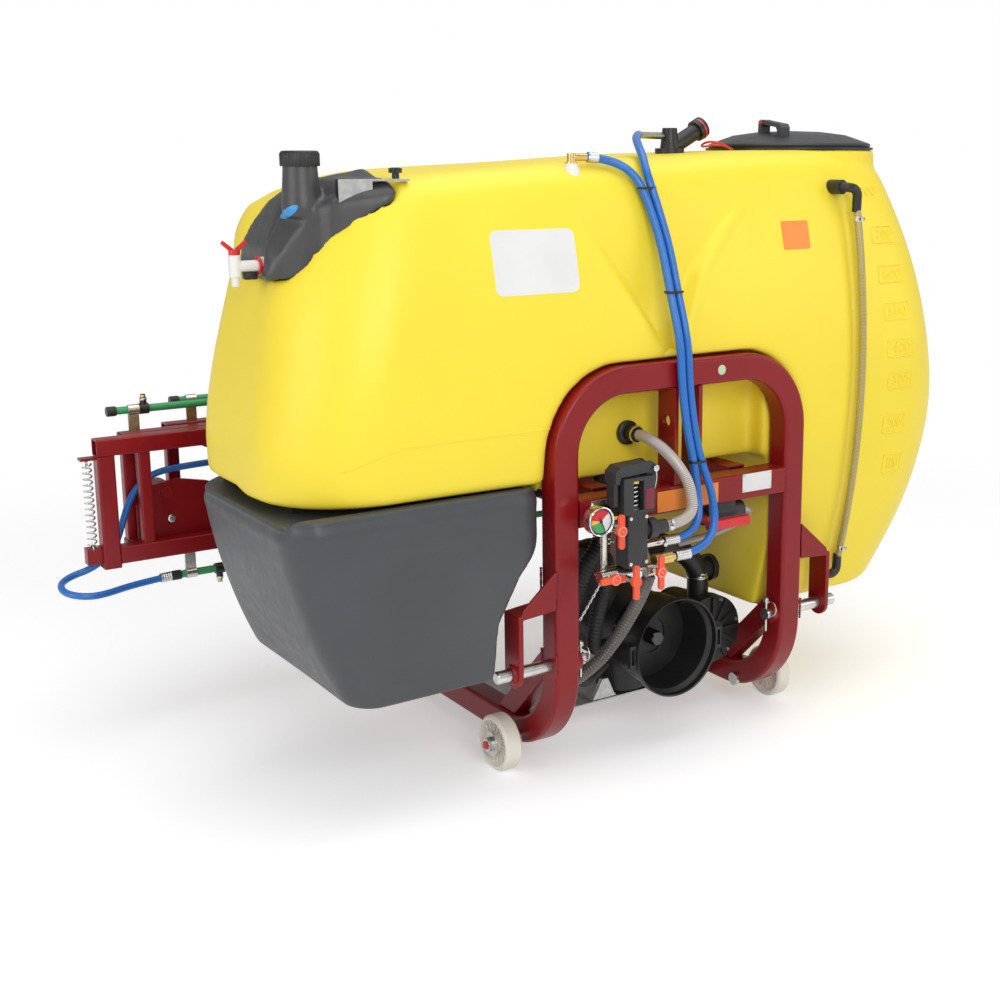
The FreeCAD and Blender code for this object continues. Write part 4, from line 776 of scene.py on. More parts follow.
# Control points of the hoses' curves
blue_first = [(-184, 120, 1326), (-132, 112, 1322), (-90, 78, 1292), (-68, 58, 1228),
              (-50, 36, 1140), (-42, 16, 1045), (-36, -14, 940), (-32, -14, 860), (-18, -14, 760),
              (4, -14, 676), (10, -22, 610), (4, -38, 552), (-36, -42, 519), (-92, -42, 519)]
blue_second = [(52, 262, 1374), (14, 220, 1371), (-22, 160, 1350), (-46, 112, 1328),
               (-62, 76, 1294), (-50, 56, 1232), (-30, 36, 1140), (-22, 16, 1045), (-16, -14, 940),
               (-12, -14, 860), (2, -14, 760), (24, -14, 676), (44, -34, 600), (40, -48, 524),
               (-6, -50, 484), (-70, -50, 484)]
return_route = [(-86, 68.8, 733), (-84, 40, 732), (-66, 4, 712), (-46, -26, 676), (-28, -46, 630),
                (-24, -50, 556), (-99.7, -50, 556)]
clear_route = [(179.5, 34, 536), (214, 36, 532), (232, 66, 504), (206, 104, 470),
               (150, 140, 446), (84, 186, 424)]
thick_route = [(-128, 150, 632), (-134, 124, 560), (-152, 112, 490), (-205, 114, 430),
               (-236, 120, 330), (-236, 124, 230), (-192, 130, 166), (-126, 190, 158),
               (-40, 250, 158)]
second_route = [(-105, 220, 440), (-112, 140, 448), (-146, 106, 400), (-176, 106, 300),
                (-166, 128, 226), (-60, 200, 214)]
suction_route = [(-122, -24, 444), (-134, -18, 405), (-150, 4, 350), (-170, 40, 280),
                 (-205, 66, 225), (-262, 84, 190)]
boom_route = [(-878, 862, 352), (-970, 850, 350), (-1058, 800, 352), (-1102, 801, 356),
              (-1132, 830, 362), (-1132, 874, 370), (-1101, 903, 378), (-1050, 904, 388),
              (-998, 904, 420), (-974, 904, 480), (-950, 904, 548), (-905, 904, 594),
              (-830, 904, 606), (-690, 904, 607)]


def arc_line(start, middle, end, count=80):
    """Points on the circle through three places."""
    a, b, c = (np.array(at(*p)) for p in (start, middle, end))
    ab, ac = b - a, c - a
    normal = np.cross(ab, ac)
    centre = a + (np.cross(normal, ab) * ac.dot(ac) + np.cross(ac, normal) * ab.dot(ab)) / (
        2 * normal.dot(normal))
    u = a - centre
    axis = normal / np.linalg.norm(normal)
    v = np.cross(axis, u)
    sweep = math.atan2((c - centre).dot(v), (c - centre).dot(u)) % (TURN)
    angles = np.linspace(0, sweep, count)
    return centre + np.cos(angles)[:, None] * u + np.sin(angles)[:, None] * v


def ring_tube(place, count, radius, step, sides):
    """Wire bent to a loop; place gives its points in millimetres by angle."""
    loop = [at(*place(a)) for a in np.linspace(0, TURN, count)]
    return tube_mesh("ring", np.array(loop), radius, step, sides)


def make_hoses():
    blue = [tube_mesh("a", smooth_line(blue_first, 3), 0.009),
            tube_mesh("b", smooth_line(blue_second, 3), 0.009)]
    clear = [tube_mesh("a", smooth_line(return_route, 3), 0.0125, 0.004, 24),
             tube_mesh("b", smooth_line(clear_route, 3), 0.008)]
    spiral = [tube_mesh("suction", smooth_line(suction_route, 3), 0.015, 0.0009, 24,
                        ribbed(0.015, 0.0016, 0.0075), 0.012)]
    arc = arc_line((526, 42, 1214), (526, 4, 800), (526, 64, 352))
    boom = []
    for side in (1, -1):
        route = [(side * x, y, z) for x, y, z in boom_route]
        boom.append(tube_mesh("boom", smooth_line(route, 3), 0.008))
    for node, tubes, slot, key, body in (
            ("blue_hoses", blue, "hose_blue", "blue", "chassis"),
            ("return_hose", clear, "hose_clear", "clear", "chassis"),
            ("suction_hose", spiral, "hose_clear", "spiral", "chassis"),
            ("level_tube", [tube_mesh("level", arc, 0.009)], "hose_clear", "level", "chassis"),
            ("boom_hose", boom, "hose_blue", "blue", "boom_carriage")):
        add_object(node + "_fine", merged(node, tubes), key, node, body)


# CAD pieces copied with softened edges, each loose part in its own material
def painted(node, materials, rule=None, width=0.0012, angle=32.0, segments=2):
    """rule turns a loose part's box in millimetres into its material, or None to drop it."""
    bm = bmesh.new()
    bm.from_mesh(nodes[node].data)
    bmesh.ops.remove_doubles(bm, verts=bm.verts, dist=MERGE)
    seen, dropped = set(), []
    for first in bm.faces:
        if first in seen or rule is None:
            continue
        part, todo = [first], [first]
        seen.add(first)
        while todo:
            for edge in todo.pop().edges:
                for other in edge.link_faces:
                    if other not in seen:
                        seen.add(other)
                        part.append(other)
                        todo.append(other)
        places = np.array([v.co for f in part for v in f.verts]) * 1000 + (0, REAR, 0)
        index = rule(places.min(0), places.max(0))
        if index is None:
            dropped.extend(part)
        else:
            for face in part:
                face.material_index = index
    bmesh.ops.delete(bm, geom=dropped, context="FACES")
    bmesh.ops.dissolve_limit(bm, angle_limit=0.002, verts=bm.verts, edges=bm.edges,
                             delimit={"MATERIAL"})
    mesh = baked(bm, node)
    piece = placed(node + "_fine", mesh)
    for key in materials:
        mesh.materials.append(mats[key])
    mesh.shade_smooth()
    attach(piece, node_body[node])
    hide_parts(node)
    if width:
        soften(piece, width, segments, angle)
    return piece


# Nodes in one material: material, width of the rounded edge
plain_nodes = {
    "control_block": ("black_cast", 0.0022), "regulator_body": ("black_cast", 0.0022),
    "regulator_lever": ("black_cast", 0.0018), "selector_valve": ("black_cast", 0.0016),
    "selector_handle": ("handle_red", 0.0012), "valve_lever_1": ("orange", 0.0012),
    "valve_lever_2": ("orange", 0.0012), "valve_lever_3": ("orange", 0.0012),
    "valve_lever_4": ("orange", 0.0012), "tank_fittings": ("black", 0.0014),
    "pump_feet": ("cast", 0.0022), "pto_guard": ("black", 0.0016),
    "pto_shaft": ("dark_steel", 0.0005), "suction_filter": ("black", 0.0016),
    "wheel_axles": ("zinc", 0.0008), "link_pins": ("zinc", 0.0018),
    "hand_wash_strap": ("zinc_dull", 0.0010), "star_knob": ("black", 0.0016),
    "hand_wash_tap": ("tap_white", 0.0014), "tap_handle": ("handle_red", 0.0014),
    "filler_lid": ("lid_grey", 0.0022), "filler_ring": ("black", 0.0018),
    "filler_basket": ("basket", 0), "cable_ties": ("black", 0.0006),
}


def make_plain_nodes():
    for node, (key, width) in plain_nodes.items():
        painted(node, [key], None, width)


def merged_keep(first, second):
    bm = bmesh.new()
    bm.from_mesh(first)
    bm.from_mesh(second)
    bm.to_mesh(first)
    bm.free()
    bpy.data.meshes.remove(second)
    return first


# Small turned, boxed and threaded pieces, all in millimetres
def sharpened(mesh, degrees=38.0):
    mesh.shade_smooth()
    mesh.set_sharp_from_angle(angle=math.radians(degrees))
    return mesh


def lathe(centre, axis, profile, sides=48, wave=None):
    """Turned form of (radius, distance along the axis); a hollow one closes on itself."""
    axis = Vector(axis).normalized()
    u = axis.orthogonal().normalized()
    v = axis.cross(u)
    bm = bmesh.new()
    rings = []
    for radius, along in profile:
        loop = []
        for k in range(sides):
            angle = TURN * k / sides
            r = max(radius, 0.0) + (wave(angle, radius, along) if wave else 0.0)
            out = (u * math.cos(angle) + v * math.sin(angle)) * r
            loop.append(bm.verts.new(at(*(Vector(centre) + axis * along + out))))
        rings.append(loop)
    for a, b in zip(rings, rings[1:]):
        for k in range(sides):
            j = (k + 1) % sides
            bm.faces.new((a[k], a[j], b[j], b[k]))
    if profile[0][0] > 0.2 and profile[-1][0] > 0.2:
        for k in range(sides):
            j = (k + 1) % sides
            bm.faces.new((rings[-1][k], rings[-1][j], rings[0][j], rings[0][k]))
    elif profile[0][0] > 0.2:
        bm.faces.new(rings[0])
    bmesh.ops.remove_doubles(bm, verts=bm.verts, dist=0.00001)
    bmesh.ops.recalc_face_normals(bm, faces=bm.faces)
    return baked(bm, "turned")


def block(centre, size, turn=0.0, edge=1.2, axis="Z"):
    """Small box with rounded edges, turned about its own middle."""
    bm = bmesh.new()
    bmesh.ops.create_cube(bm, size=1.0)
    bmesh.ops.scale(bm, vec=Vector(size) / 1000, verts=bm.verts)
    bmesh.ops.bevel(bm, geom=bm.edges[:], offset=edge / 1000, segments=3, profile=0.5,
                    affect="EDGES")
    bmesh.ops.rotate(bm, verts=bm.verts, matrix=Matrix.Rotation(math.radians(turn), 3, axis))
    bmesh.ops.translate(bm, verts=bm.verts, vec=at(*centre))
    return baked(bm, "block")


def bolt(centre, axis, size=6.5, washer=True):
    """Hexagon head over a washer, its seat at centre. size is half the width over corners."""
    meshes = []
    start = 0.0
    if washer:
        start = 1.5
        meshes.append(lathe(centre, axis, [(size * 1.5, 0), (size * 1.5, 1.1), (size * 1.4, 1.5),
                                           (0, 1.5)], 28))
    meshes.append(lathe(centre, axis, [(size * 1.1, start), (size * 1.1, start + size * 0.75),
                                       (size * 0.92, start + size * 0.95),
                                       (0, start + size * 0.95)], 6))
    return meshes


def ferrule(centre, axis, radius, length):
    """Crimped steel sleeve with its pressed flats round it."""
    profile = [(radius * 0.86, 0), (radius, 1.2)]
    along = 3.0
    while along < length - 3:
        profile += [(radius, along), (radius - 0.9, along + 1.2), (radius - 0.9, along + 2.6),
                    (radius, along + 3.8)]
        along += 5.4
    profile += [(radius, length - 1), (radius * 0.86, length)]
    return lathe(centre, axis, profile, 40,
                 lambda angle, r, a: -0.35 * max(0.0, math.cos(8 * angle)))


def hose_clamp(centre, axis, radius, width, lift):
    """Band with its worm screw. lift is the way from the axis to the screw."""
    axis = Vector(axis).normalized()
    lift = Vector(lift).normalized()
    side = axis.cross(lift)
    band = lathe(centre, axis, [(radius, -width / 2), (radius + 0.8, -width / 2),
                                (radius + 0.8, -width / 2 + 1), (radius + 0.5, 0),
                                (radius + 0.8, width / 2 - 1), (radius + 0.8, width / 2),
                                (radius, width / 2)], 44)
    middle = Vector(centre) + lift * (radius + 3.4)
    screw = lathe(middle - side * 6, side, [(3.2, 0), (3.6, 0.6), (3.6, 9), (3.2, 9.6),
                                            (1.6, 9.6), (1.6, 11)], 18)
    head = lathe(middle + side * 5, side, [(4.0, 0), (4.0, 2.8), (3.2, 3.6), (0, 3.6)], 6)
    return [band, screw, head]


def rod_line(points, radius, order=3, step=0.002, sides=14):
    return tube_mesh("rod", smooth_line(points, order), radius / 1000, step, sides)


def straight_tube(start, end, radius, profile, step=1.0, sides=28):
    """Tube between two places whose radius in millimetres follows profile(distance)."""
    line = np.array([at(*start), at(*end)])
    return tube_mesh("tube", line, radius / 1000, step / 1000, sides,
                     lambda s: profile(s * 1000) / 1000)


def small_parts(name, body, groups, angle=38.0, replaced=None):
    """One piece out of several small meshes. groups holds (material, meshes)."""
    whole = None
    keys = []
    for key, meshes in groups:
        if key not in keys:
            keys.append(key)
        for mesh in meshes:
            with_material(mesh, keys.index(key))
            whole = mesh if whole is None else merged_keep(whole, mesh)
    sharpened(whole, angle)
    piece = placed(name, whole)
    for key in keys:
        whole.materials.append(mats[key])
    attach(piece, body)
    if replaced:
        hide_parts(replaced)


# Flat marks that follow a moulded wall
class Wall:
    """Outer face of a piece, found by level rays from one side; way is where they go."""

    def __init__(self, piece, middle=(0, 0), way=(0, 1)):
        self.tree = BVHTree.FromPolygons([v.co.copy() for v in piece.data.vertices],
                                         [tuple(p.vertices) for p in piece.data.polygons])
        self.way = Vector((way[0], way[1], 0)).normalized()
        self.side = Vector((self.way.y, -self.way.x, 0))
        self.middle = Vector((middle[0], middle[1], 0))
        self.last = None

    def place(self, x, z, lift):
        start = self.middle + self.side * x - self.way * 600
        hit, normal, _, _ = self.tree.ray_cast(at(start.x, start.y, z), self.way)
        if hit is None:
            return self.last.copy()
        self.last = hit + normal * (lift / 1000)
        return self.last.copy()


def rounded_outline(x0, x1, z0, z1, radius, count=8):
    points = []
    for cx, cz, first in ((x1 - radius, z1 - radius, 0), (x0 + radius, z1 - radius, 90),
                          (x0 + radius, z0 + radius, 180), (x1 - radius, z0 + radius, 270)):
        for k in range(count + 1):
            angle = math.radians(first + 90 * k / count)
            points.append((cx + radius * math.cos(angle), cz + radius * math.sin(angle)))
    dense = []
    for (ax, az), (bx, bz) in zip(points, points[1:] + points[:1]):
        runs = max(1, int(math.hypot(bx - ax, bz - az) / 8))
        dense += [(ax + (bx - ax) * k / runs, az + (bz - az) * k / runs) for k in range(runs)]
    return dense


def sticker(wall, outline, lift=0.5, rings=12):
    """Thin skin over a wall inside an outline of (x, z) points."""
    cx = sum(p[0] for p in outline) / len(outline)
    cz = sum(p[1] for p in outline) / len(outline)
    bm = bmesh.new()
    loops = []
    for k in range(rings + 2):
        share = min(1.0, (k + 1) / rings) if k else 0.02
        up = lift if k < rings else -0.6
        loops.append([bm.verts.new(wall.place(cx + (x - cx) * share, cz + (z - cz) * share, up))
                      for x, z in outline])
    for a, b in zip(loops, loops[1:]):
        for j in range(len(outline)):
            k = (j + 1) % len(outline)
            bm.faces.new((a[j], a[k], b[k], b[j]))
    bm.faces.new(loops[0])
    bmesh.ops.recalc_face_normals(bm, faces=bm.faces)
    return baked(bm, "sticker")


def moulded_border(wall, outline, radius=2.2, lift=0.2):
    points = [wall.place(x, z, lift) for x, z in outline]
    points.append(points[0])
    return tube_mesh("border", np.array(points), radius / 1000, 0.003, 8)


def moulded_number(wall, number, x0, x1, z0, z1, lift=1.8):
    """Raised figures that fill a field of the wall."""
    data = bpy.data.curves.new("number", "FONT")
    data.body = str(number)
    data.resolution_u = 3
    thing = placed("number", data)
    bpy.context.view_layer.update()
    mesh = bpy.data.meshes.new_from_object(thing)
    bpy.data.objects.remove(thing)
    bm = bmesh.new()
    bm.from_mesh(mesh)
    bpy.data.meshes.remove(mesh)
    bmesh.ops.remove_doubles(bm, verts=bm.verts, dist=0.0001)
    low_x = min(v.co.x for v in bm.verts)
    high_x = max(v.co.x for v in bm.verts)
    low_y = min(v.co.y for v in bm.verts)
    high_y = max(v.co.y for v in bm.verts)
    raised = bmesh.ops.extrude_face_region(bm, geom=bm.faces[:])["geom"]
    tops = {v for v in raised if isinstance(v, bmesh.types.BMVert)}
    for vert in bm.verts:
        x = x0 + (vert.co.x - low_x) / (high_x - low_x) * (x1 - x0)
        z = z0 + (vert.co.y - low_y) / (high_y - low_y) * (z1 - z0)
        vert.co = wall.place(x, z, lift if vert in tops else -0.8)
    bmesh.ops.recalc_face_normals(bm, faces=bm.faces)
    return baked(bm, "number")


level_marks = ((594, 667, 1125, 1163), (604, 688, 1031, 1071), (616, 701, 941, 982),
               (628, 715, 851, 893), (632, 713, 774, 811), (628, 698, 662, 707),
               (644, 705, 558, 605))


def make_marks(tank, wash):
    wall = Wall(tank)
    raised = [moulded_number(wall, 800, 566, 633, 1236, 1258)]
    for index, (x0, x1, z0, z1) in enumerate(level_marks):
        raised.append(moulded_border(wall, rounded_outline(x0, x1, z0, z1, 2.0, 2)))
        raised.append(moulded_number(wall, 700 - 100 * index, x0 + 14, x1 - 10, z0 + 8, z1 - 8))
    small_parts("level_marks", "chassis", [("yellow", raised)], 50)
    label = sticker(wall, rounded_outline(-457, -258, 1056, 1184, 16), 0.5, 22)
    warn = sticker(wall, rounded_outline(310, 392, 1119, 1183, 5), 0.5)
    insert = lathe((20, 36, 918), FORWARD, [(0, 0), (8, 0), (8, 3), (6.4, 4), (5, 4), (4, 0)], 24)
    small_parts("tank_labels", "chassis",
                [("plate", [label]), ("plate_orange", [warn]), ("zinc", [insert])])
    side = Wall(wash, (-841, 150), (0.45, 0.89))
    oval = [(18 * math.cos(a) + 6 * math.sin(a), 1225 + 12 * math.sin(a) + 7 * math.cos(a))
            for a in np.linspace(0, TURN, 40, endpoint=False)]
    seam = [(-800, 742), (-760, 757), (-720, 771), (-678, 780.5), (-640, 781), (-500, 781),
            (-362, 781), (-340, 781)]
    line = []
    for (ax, az), (bx, bz) in zip(seam, seam[1:]):
        line += [wall.place(ax + (bx - ax) * k / 12, az + (bz - az) * k / 12, 0.1)
                 for k in range(12)]
    small_parts("parting_line", "chassis",
                [("yellow", [tube_mesh("seam", np.array(line), 0.0011, 0.004, 8)])], 60)
    small_parts("wash_label", "chassis", [("blue_plain", [sticker(side, oval)])])
    disc = lathe((91, 0, 869), FORWARD, [(0, 0), (11, 0), (11, 0.5), (10.4, 0.8), (0, 0.8)], 36)
    small_parts("bow_disc", "chassis", [("pale_green", [disc])])


# Control group
def dial_sector(centre, radius, first, last, y, inner=0.0):
    """Flat sector facing forward; angles run clockwise from the top."""
    bm = bmesh.new()
    steps = max(3, int((last - first) / 4))
    outer, near = [], []
    for k in range(steps + 1):
        angle = math.radians(first + (last - first) * k / steps)
        way = (math.sin(angle), math.cos(angle))
        for row, r in ((outer, radius), (near, inner)):
            row.append(bm.verts.new(at(centre[0] + way[0] * r, y, centre[1] + way[1] * r)))
    for k in range(steps):
        bm.faces.new((near[k], outer[k], outer[k + 1], near[k + 1]))
    bmesh.ops.remove_doubles(bm, verts=bm.verts, dist=0.000005)
    return baked(bm, "sector")


def make_gauge():
    x, z = -275.0, 593.0
    case = lathe((x, 0, z), BACKWARD, [(0, -36), (27, -36), (30, -38.5), (30, -56), (31.5, -57.5),
                                        (31.5, -62.5), (30.6, -64.4), (29.2, -65), (27.8, -64.2),
                                        (27, -62.5), (27, -61), (0, -61)], 64)
    pipe = rod_line([(-258, -45, 596), (-236, -45, 594), (-211, -45, 592)], 4.5, 2)
    nut = lathe((-236, -45, 594), (1, 0, -0.08), [(0, 0), (8, 0), (8, 9), (0, 9)], 6)
    ring = dial_sector((x, z), 27, 0, 360, -61.15, 24.5)
    faces = [("gauge_red", -78, 48), ("gauge_white", 48, 152), ("gauge_green", 152, 256),
             ("gauge_yellow", 256, 282)]
    groups = [("chrome", [case]), ("brass", [pipe, nut]), ("black", [ring])]
    for key, first, last in faces:
        groups.append((key, [dial_sector((x, z), 24.5, first, last, -61.2)]))
    ticks = []
    for k in range(27):
        angle = math.radians(-130 + k * 10)
        way = Vector((math.sin(angle), 0, math.cos(angle)))
        inner = 23.6 - (4.2 if k % 3 == 0 else 2.4)
        ticks.append(rod_line([Vector((x, -61.35, z)) + way * reach for reach in (23.6, inner)],
                              0.3, 2, 0.001, 6))
    needle = rod_line([(x - 4, -62.4, z + 8), (x, -62.4, z), (x + 9, -62.4, z - 19)], 0.8, 2)
    hub = lathe((x, -61, z), FORWARD, [(3.6, 0), (3.6, 1.4), (2.8, 2.2), (0, 2.2)], 24)
    groups.append(("black", ticks + [needle, hub]))
    small_parts("gauge_fine", "chassis", groups, 30, "pressure_gauge")


def make_controls():
    x, y = -185.0, -45.0
    painted("valve_bodies", ["nickel", "zinc"],
            lambda low, high: 1 if low[2] > 585 else 0, 0.0010)
    # Lever 3 stands furthest forward, so a ring on it would leave the machine's box.
    boss = [("valve_lever_1", -238, -86, 571), ("valve_lever_2", -253, -86, 470),
            ("valve_lever_4", -134, -86, 466)]
    for name, bx, by, bz in boss:
        ring = lathe((bx, by, bz), FORWARD, [(7.8, -1.0), (7.8, 1.0), (8.6, 1.5), (10.2, 1.5),
                                                (11.2, 0.8), (11.6, -1.0)], 36)
        mark = block((bx, by - 0.3, bz), (10, 2.2, 2.6), 35, 0.5, "Y")
        small_parts(name + "_boss", name, [("orange_pale", [ring, mark])])
    nut = lathe((x, y - 8, 661), UP, [(6, 0), (12, 0.4), (12, 5.6), (11, 6.4), (0, 6.4)], 6)
    seat = lathe((x, y - 8, 606.2), UP, [(11, 0), (11, 1.6), (0, 1.6)], 30)
    patch = block((x + 28, y - 25.2, 628), (22, 1.2, 44), 0, 0.5)
    screws = []
    for bx, by, bz in ((-257, -6, 612), (-217, -6, 616), (x - 20, y - 22, 590),
                       (x + 20, y - 22, 590), (x - 20, y - 22, 492), (x + 20, y - 22, 492)):
        screws += bolt((bx, by, bz), FORWARD, 4.4, bz > 600)
    small_parts("control_trim", "chassis",
                [("gold", [nut]), ("zinc", screws + [seat]), ("patch_red", [patch])])
    wire = rod_line([(-134, -62, 668), (-137, -62, 650), (-144, -60, 620), (-154, -60, 611)], 1.7)
    hook = rod_line([(-134, -62, 668), (-134, -62, 682), (-140, -66, 690)], 1.7)
    pin = lathe((x + 45, y - 24, 690), FORWARD, [(7, 0), (7, 1.4), (5, 2.4), (0, 2.4)], 24)
    small_parts("regulator_wire", "regulator_lever", [("zinc", [wire, hook, pin])])
    links = []
    start, end = Vector((-275, -60, 461)), Vector((-314, -40, 383))
    way = (end - start).normalized()
    link_count = 13
    for k in range(link_count):
        middle = start.lerp(end, (k + 0.5) / link_count)
        across = Vector((0.9, 0.43, 0)) if k % 2 else Vector((-0.43, 0.9, 0))
        links.append(ring_tube(lambda a: middle + way * (4.6 * math.cos(a))
                               + across * (2.4 * math.sin(a)), 14, 0.0008, 0.002, 6))
    small_parts("small_chain", "chassis", [("zinc", links)])


def make_fittings():
    def rule(low, high):
        if high[2] > 1300 and high[0] < 0:
            return 1
        if low[0] > 500:
            return None
        if high[0] > 100:
            return 2
        if low[2] > 535:
            return None
        if low[2] < 480 and low[0] < -120:
            return 1
        if high[0] - low[0] < 45:
            return None
        return 0
    painted("hose_fittings", ["nickel", "brass", "zinc"], rule, 0.0008)
    steel = [ferrule(*row) for row in (((-60, -42, 519), (-1, 0, 0), 12, 40),
                                       ((-34, -50, 484), (-1, 0, 0), 12, 40),
                                       ((-184, 120, 1326), (0.98, -0.15, -0.08), 11.4, 24))]
    for row in (((-90, -50, 556), (1, 0, 0), 13, 12, (0, -1, 0.6)),
                ((-86, 82, 732.6), BACKWARD, 13.2, 11, (0.3, -0.2, 1)),
                ((526, 35.6, 1184), (0, -0.06, 1), 9.6, 11, FORWARD),
                ((526, 56, 382), (0, 0.10, 1), 9.6, 11, FORWARD)):
        steel += hose_clamp(*row)
    steel += bolt((-109, -60, 519), FORWARD, 5.5, False)
    base = lathe((-224, 120, 1286), UP, [(18, 0), (18, 14), (16, 18), (13.4, 22), (13.4, 27),
                                                (11, 29), (0, 29)], 36)
    small_parts("fitting_trim", "chassis",
                [("zinc", steel), ("tap_white", [base])], replaced="hose_fittings")
    rings = [lathe((-86, 71, 733), BACKWARD, [(13, 0), (18.5, 0.5), (18.5, 5), (17, 6.5)], 30),
             lathe((-86, 100, 732), BACKWARD, [(17, 0), (24, 1), (27.4, 3), (27.4, 10)], 12)]
    small_parts("port_trim", "chassis", [("brass", rings[:1]), ("black", rings[1:])])
    red = [lathe((258, 300, 1389.6), (0.894, 0, 0.447), [(25.6, 0), (25.6, 4), (20, 4)], 40)]
    red.append(ring_tube(lambda a: (300 + 40 * math.cos(a), 282 + 30 * math.sin(a),
                                    1352 - 5 * math.cos(a) + 5 * math.sin(2 * a)),
                         40, 0.0026, 0.003, 10))
    small_parts("tee_ring", "chassis", [("handle_red", red)])


def make_suction():
    thick = tube_mesh("thick", smooth_line(thick_route, 3), 0.020, 0.0013, 30,
                      ribbed(0.020, 0.0024, 0.0095))
    second = tube_mesh("second", smooth_line(second_route, 3), 0.017, 0.0012, 28,
                       ribbed(0.017, 0.0020, 0.0085))
    add_object("ribbed_hoses", merged("ribbed", [thick, second]), "black_soft",
               "suction_pipes")
    painted("suction_pipes", ["black"], lambda low, high: 0 if low[0] > 0 else None, 0.0014)
    clamps, bolts = [], []
    for row in (((-131, 137, 596), (0.05, 0.3, 1), 20.4, 13, (0.4, -1, 0.2)),
                ((-151, 112, 496), (0.2, 0.05, 1), 20.4, 13, (0.3, -1, 0)),
                ((186, 190, 340), UP, 26.2, 14, (-0.4, -1, 0))):
        clamps += hose_clamp(*row)
    for count, first, x, y, z, circle, size, washer in ((8, 22.5, 0, 150, 238, 88, 6, True),
                                                        (6, 10, 190, 138, 213, 76, 4.6, False)):
        for k in range(count):
            angle = math.radians(360 / count * k + first)
            bolts += bolt((x + circle * math.cos(angle), y, z + circle * math.sin(angle)),
                          FORWARD, size, washer)
    small_parts("pump_bolts", "chassis", [("zinc", clamps + bolts)])
    painted("pump_body", ["black_cast"], None, 0.003, 25)


def make_running_gear():
    for name in ("wheel_front_left", "wheel_front_right", "wheel_rear_left", "wheel_rear_right"):
        painted(name, ["white_wheel"], None, 0.0012, 30)
        side = -1 if name.endswith("left") else 1
        y = 158.0 if "front" in name else 690.0
        rings = []
        for way, start in ((side, side * 414.2), (-side, side * 371.0)):
            rings.append(lathe((start, y, WHEEL_Z), (way, 0, 0),
                               [(10.2, -2), (15.5, -2), (15.5, 0.6), (14, 1.2), (11, 1.2)], 36))
        small_parts(name + "_hub", name, [("chrome", rings)])
        bolt_head = lathe((side * 430, y, WHEEL_Z), (side, 0, 0),
                          [(0, 0), (9.6, 0), (9.6, 2.6), (8, 4.2), (3, 4.8), (0, 4.8)], 6)
        small_parts(name + "_bolt", "chassis", [("bolt_red", [bolt_head])])
    clips = []
    for side in (-1, 1):
        x = side * 265.5
        clips.append(rod_line([(x, 30, 226), (x, 30, 262), (x, 30, 306)], 3.2, 2))
        clips.append(lathe((x, 30, 296), UP, [(3, 0), (6.5, 1), (6.5, 9), (5, 11), (3, 12)], 20))
        clips.append(ring_tube(lambda a: (x + 1.5 * math.sin(a), 13 + 17 * math.cos(a),
                                          284 + 17 * math.sin(a)), 30, 0.0014, 0.003, 8))
    small_parts("split_pins_fine", "chassis", [("zinc", clips)],
                replaced="split_pins")


def make_top():
    ribs = 40
    cap = lathe((NECK_X, NECK_Y, 0), UP,
                [(33.8, 1310), (36.6, 1310), (37.3, 1311.5), (37.3, 1333), (36.4, 1335.6),
                 (34.5, 1338), (31, 1339), (12, 1337.6), (0, 1337.6)], ribs * 6,
                lambda angle, r, a: 0.6 * math.cos(ribs * angle) if 37.2 < r else 0.0)
    small_parts("wash_cap_fine", "hand_wash_cap", [("black", [cap])], 60,
                "hand_wash_cap")
    end = block((-736.6, 141.4, 1263), (13, 21, 47), -11.5, 1.5)
    small_parts("strap_block", "chassis", [("black", [end])])
    red = lathe((-905, 262, 1122), (1, 0, 0), [(17.2, 43), (18.2, 44), (18.2, 49), (17.2, 50),
                                               (11, 50)], 36)
    below = block((-876, 262, 1103), (26, 18, 14), 0, 3)
    small_parts("tap_trim", "chassis", [("handle_red", [red]), ("black", [below])])
    catch = block((476, 322, 1409), (16, 14, 9), -11, 2)
    small_parts("lid_catch", "filler_lid", [("bolt_red", [catch])])
    painted("type_plates", ["plate", "plate_orange"],
            lambda low, high: 1 if high[0] < 100 else 0, 0.0004)
    rivets = [lathe((x, -1.5, z), FORWARD, [(2.6, 0), (2.3, 0.8), (1.2, 1.3), (0, 1.4)], 16)
              for x in (161, 239) for z in (587, 621)]
    small_parts("plate_rivets", "chassis", [("zinc", rivets)])


def weld_line(start, end, radius=2.6):
    """Uneven weld bead between two places."""
    rng = np.random.default_rng(int(abs(start[0] * 7 + start[2] * 3 + end[1])))
    phase = rng.random() * 6
    return straight_tube(start, end, radius, lambda s: radius * (
        1 + 0.16 * math.sin(s * 1.25 + phase) + 0.10 * math.sin(s * 0.37 + phase)), 1.2, 10)


def make_frame():
    for name in ("bow_frame", "crossbar", "mast_ears", "leg_braces", "pump_rails",
                 "rear_posts", "link_brackets"):
        painted(name, ["red"], None, 0.0024, 30, 3)
    rails = painted("tank_rails", ["red", "black"], None, 0.0024, 30, 3)
    # The rails' left ends under the tank are painted black as painted shade for the dark gap over
    # the rinse tank's rim; the rails themselves are frame red
    for face in rails.data.polygons:
        if face.center.x < -0.36:
            face.material_index = 1
    for name in ("boom_centre", "boom_wing_left", "boom_wing_right"):
        painted(name, ["red"], None, 0.0016, 30)
    beads = []
    for side in (-1, 1):
        for y in (1.5, 58.5):
            beads.append(weld_line((side * 346.5, y, 250), (side * 346.5, y, 300)))
            beads.append(weld_line((side * 346.5, y, 425), (side * 346.5, y, 479)))
    for x in (-38, -28, 28, 38):
        beads.append(weld_line((x, 2, 838), (x, 58, 838), 2.2))
    small_parts("weld_beads", "chassis", [("red", beads)], 60)


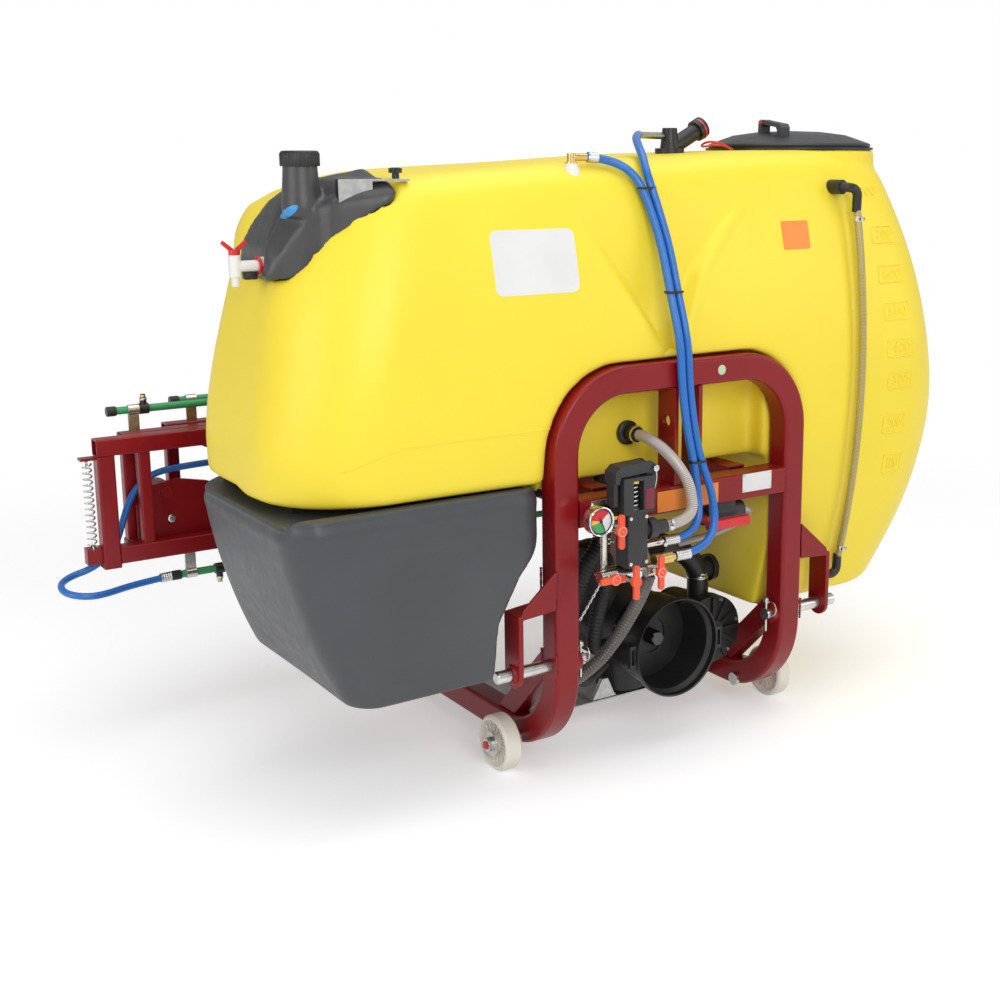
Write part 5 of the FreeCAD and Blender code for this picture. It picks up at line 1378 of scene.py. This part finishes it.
def make_boom():
    def rule(low, high):
        if high[0] - low[0] > 200:
            return 0
        if high[0] - low[0] < 23:
            return 1
        return 2
    for name, y, z, up, places, ends_x in (
            ("spray_line_centre", 862, 352, -1, (-760, -250, 250, 760), (-866, 866)),
            ("spray_line_left", 936, 748, 1, (-895, -400, 100, 600), (-971, 801)),
            ("spray_line_right", 1000, 748, 1, (895, 400, -100, -600), (-801, 971))):
        painted(name, ["green", "black", "zinc"], rule, 0.0008)
        tips, bands, ends = [], [], []
        for x in places:
            tips.append(lathe((x, y, z), (0, 0, up), [(6.2, 26), (6.4, 27), (6.4, 32), (5, 34.0),
                                                      (0, 34.0)], 24))
            bands.append(lathe((x, y, z), (0, 0, up), [(8.4, 20), (8.9, 20.6), (8.9, 24.4),
                                                       (8.4, 25)], 30))
        for x in ends_x:
            ends.append(lathe((x, y, z), (1, 0, 0), [(9, -10.6), (11.3, -9.6), (11.3, 9.6),
                                                     (9, 10.6)], 120,
                              lambda angle, r, a: 0.35 * math.cos(20 * angle) if r > 10 else 0))
        small_parts(name + "_trim", node_body[name],
                    [("brass", tips), ("zinc", bands), ("black", ends)])
    for side, body, y in ((-1, "boom_left", 936), (1, "boom_right", 1000)):
        x = side * 870
        pins = bolt((x, y + 24, 550), BACKWARD, 6.8)
        plugs = [block((side * 955.5, y, z), (4, 35, 32), 0, 1.5) for z in (678, 422)]
        small_parts(body + "_trim", body, [("zinc", pins), ("black", plugs)])
    steel = []
    for side in (-1, 1):
        steel += bolt((side * 870, 855, 494), FORWARD, 6)
        for x in (300, 640):
            steel += bolt((side * x, 895, 660), BACKWARD, 6)
        steel.append(ferrule((side * 879, 862, 352), (side * 0.99, -0.10, -0.02), 11.4, 26))
        for z in (446, 646):
            steel.append(ring_tube(lambda a: (side * 1052, 872 + 7.5 * math.cos(a),
                                              z + 7.5 * math.sin(a) * 0.9),
                                   24, 0.0019, 0.002, 10))
    small_parts("boom_bolts", "boom_carriage", [("zinc", steel)])


make_camera()
make_floor()
make_light()
make_materials()
dress_nodes()
tank = make_tank()
make_rinse()
wash = make_wash()
make_hoses()
make_plain_nodes()
make_marks(tank, wash)
make_gauge()
make_controls()
make_fittings()
make_suction()
make_running_gear()
make_top()
make_frame()
make_boom()

scene.view_settings.view_transform = "Standard"
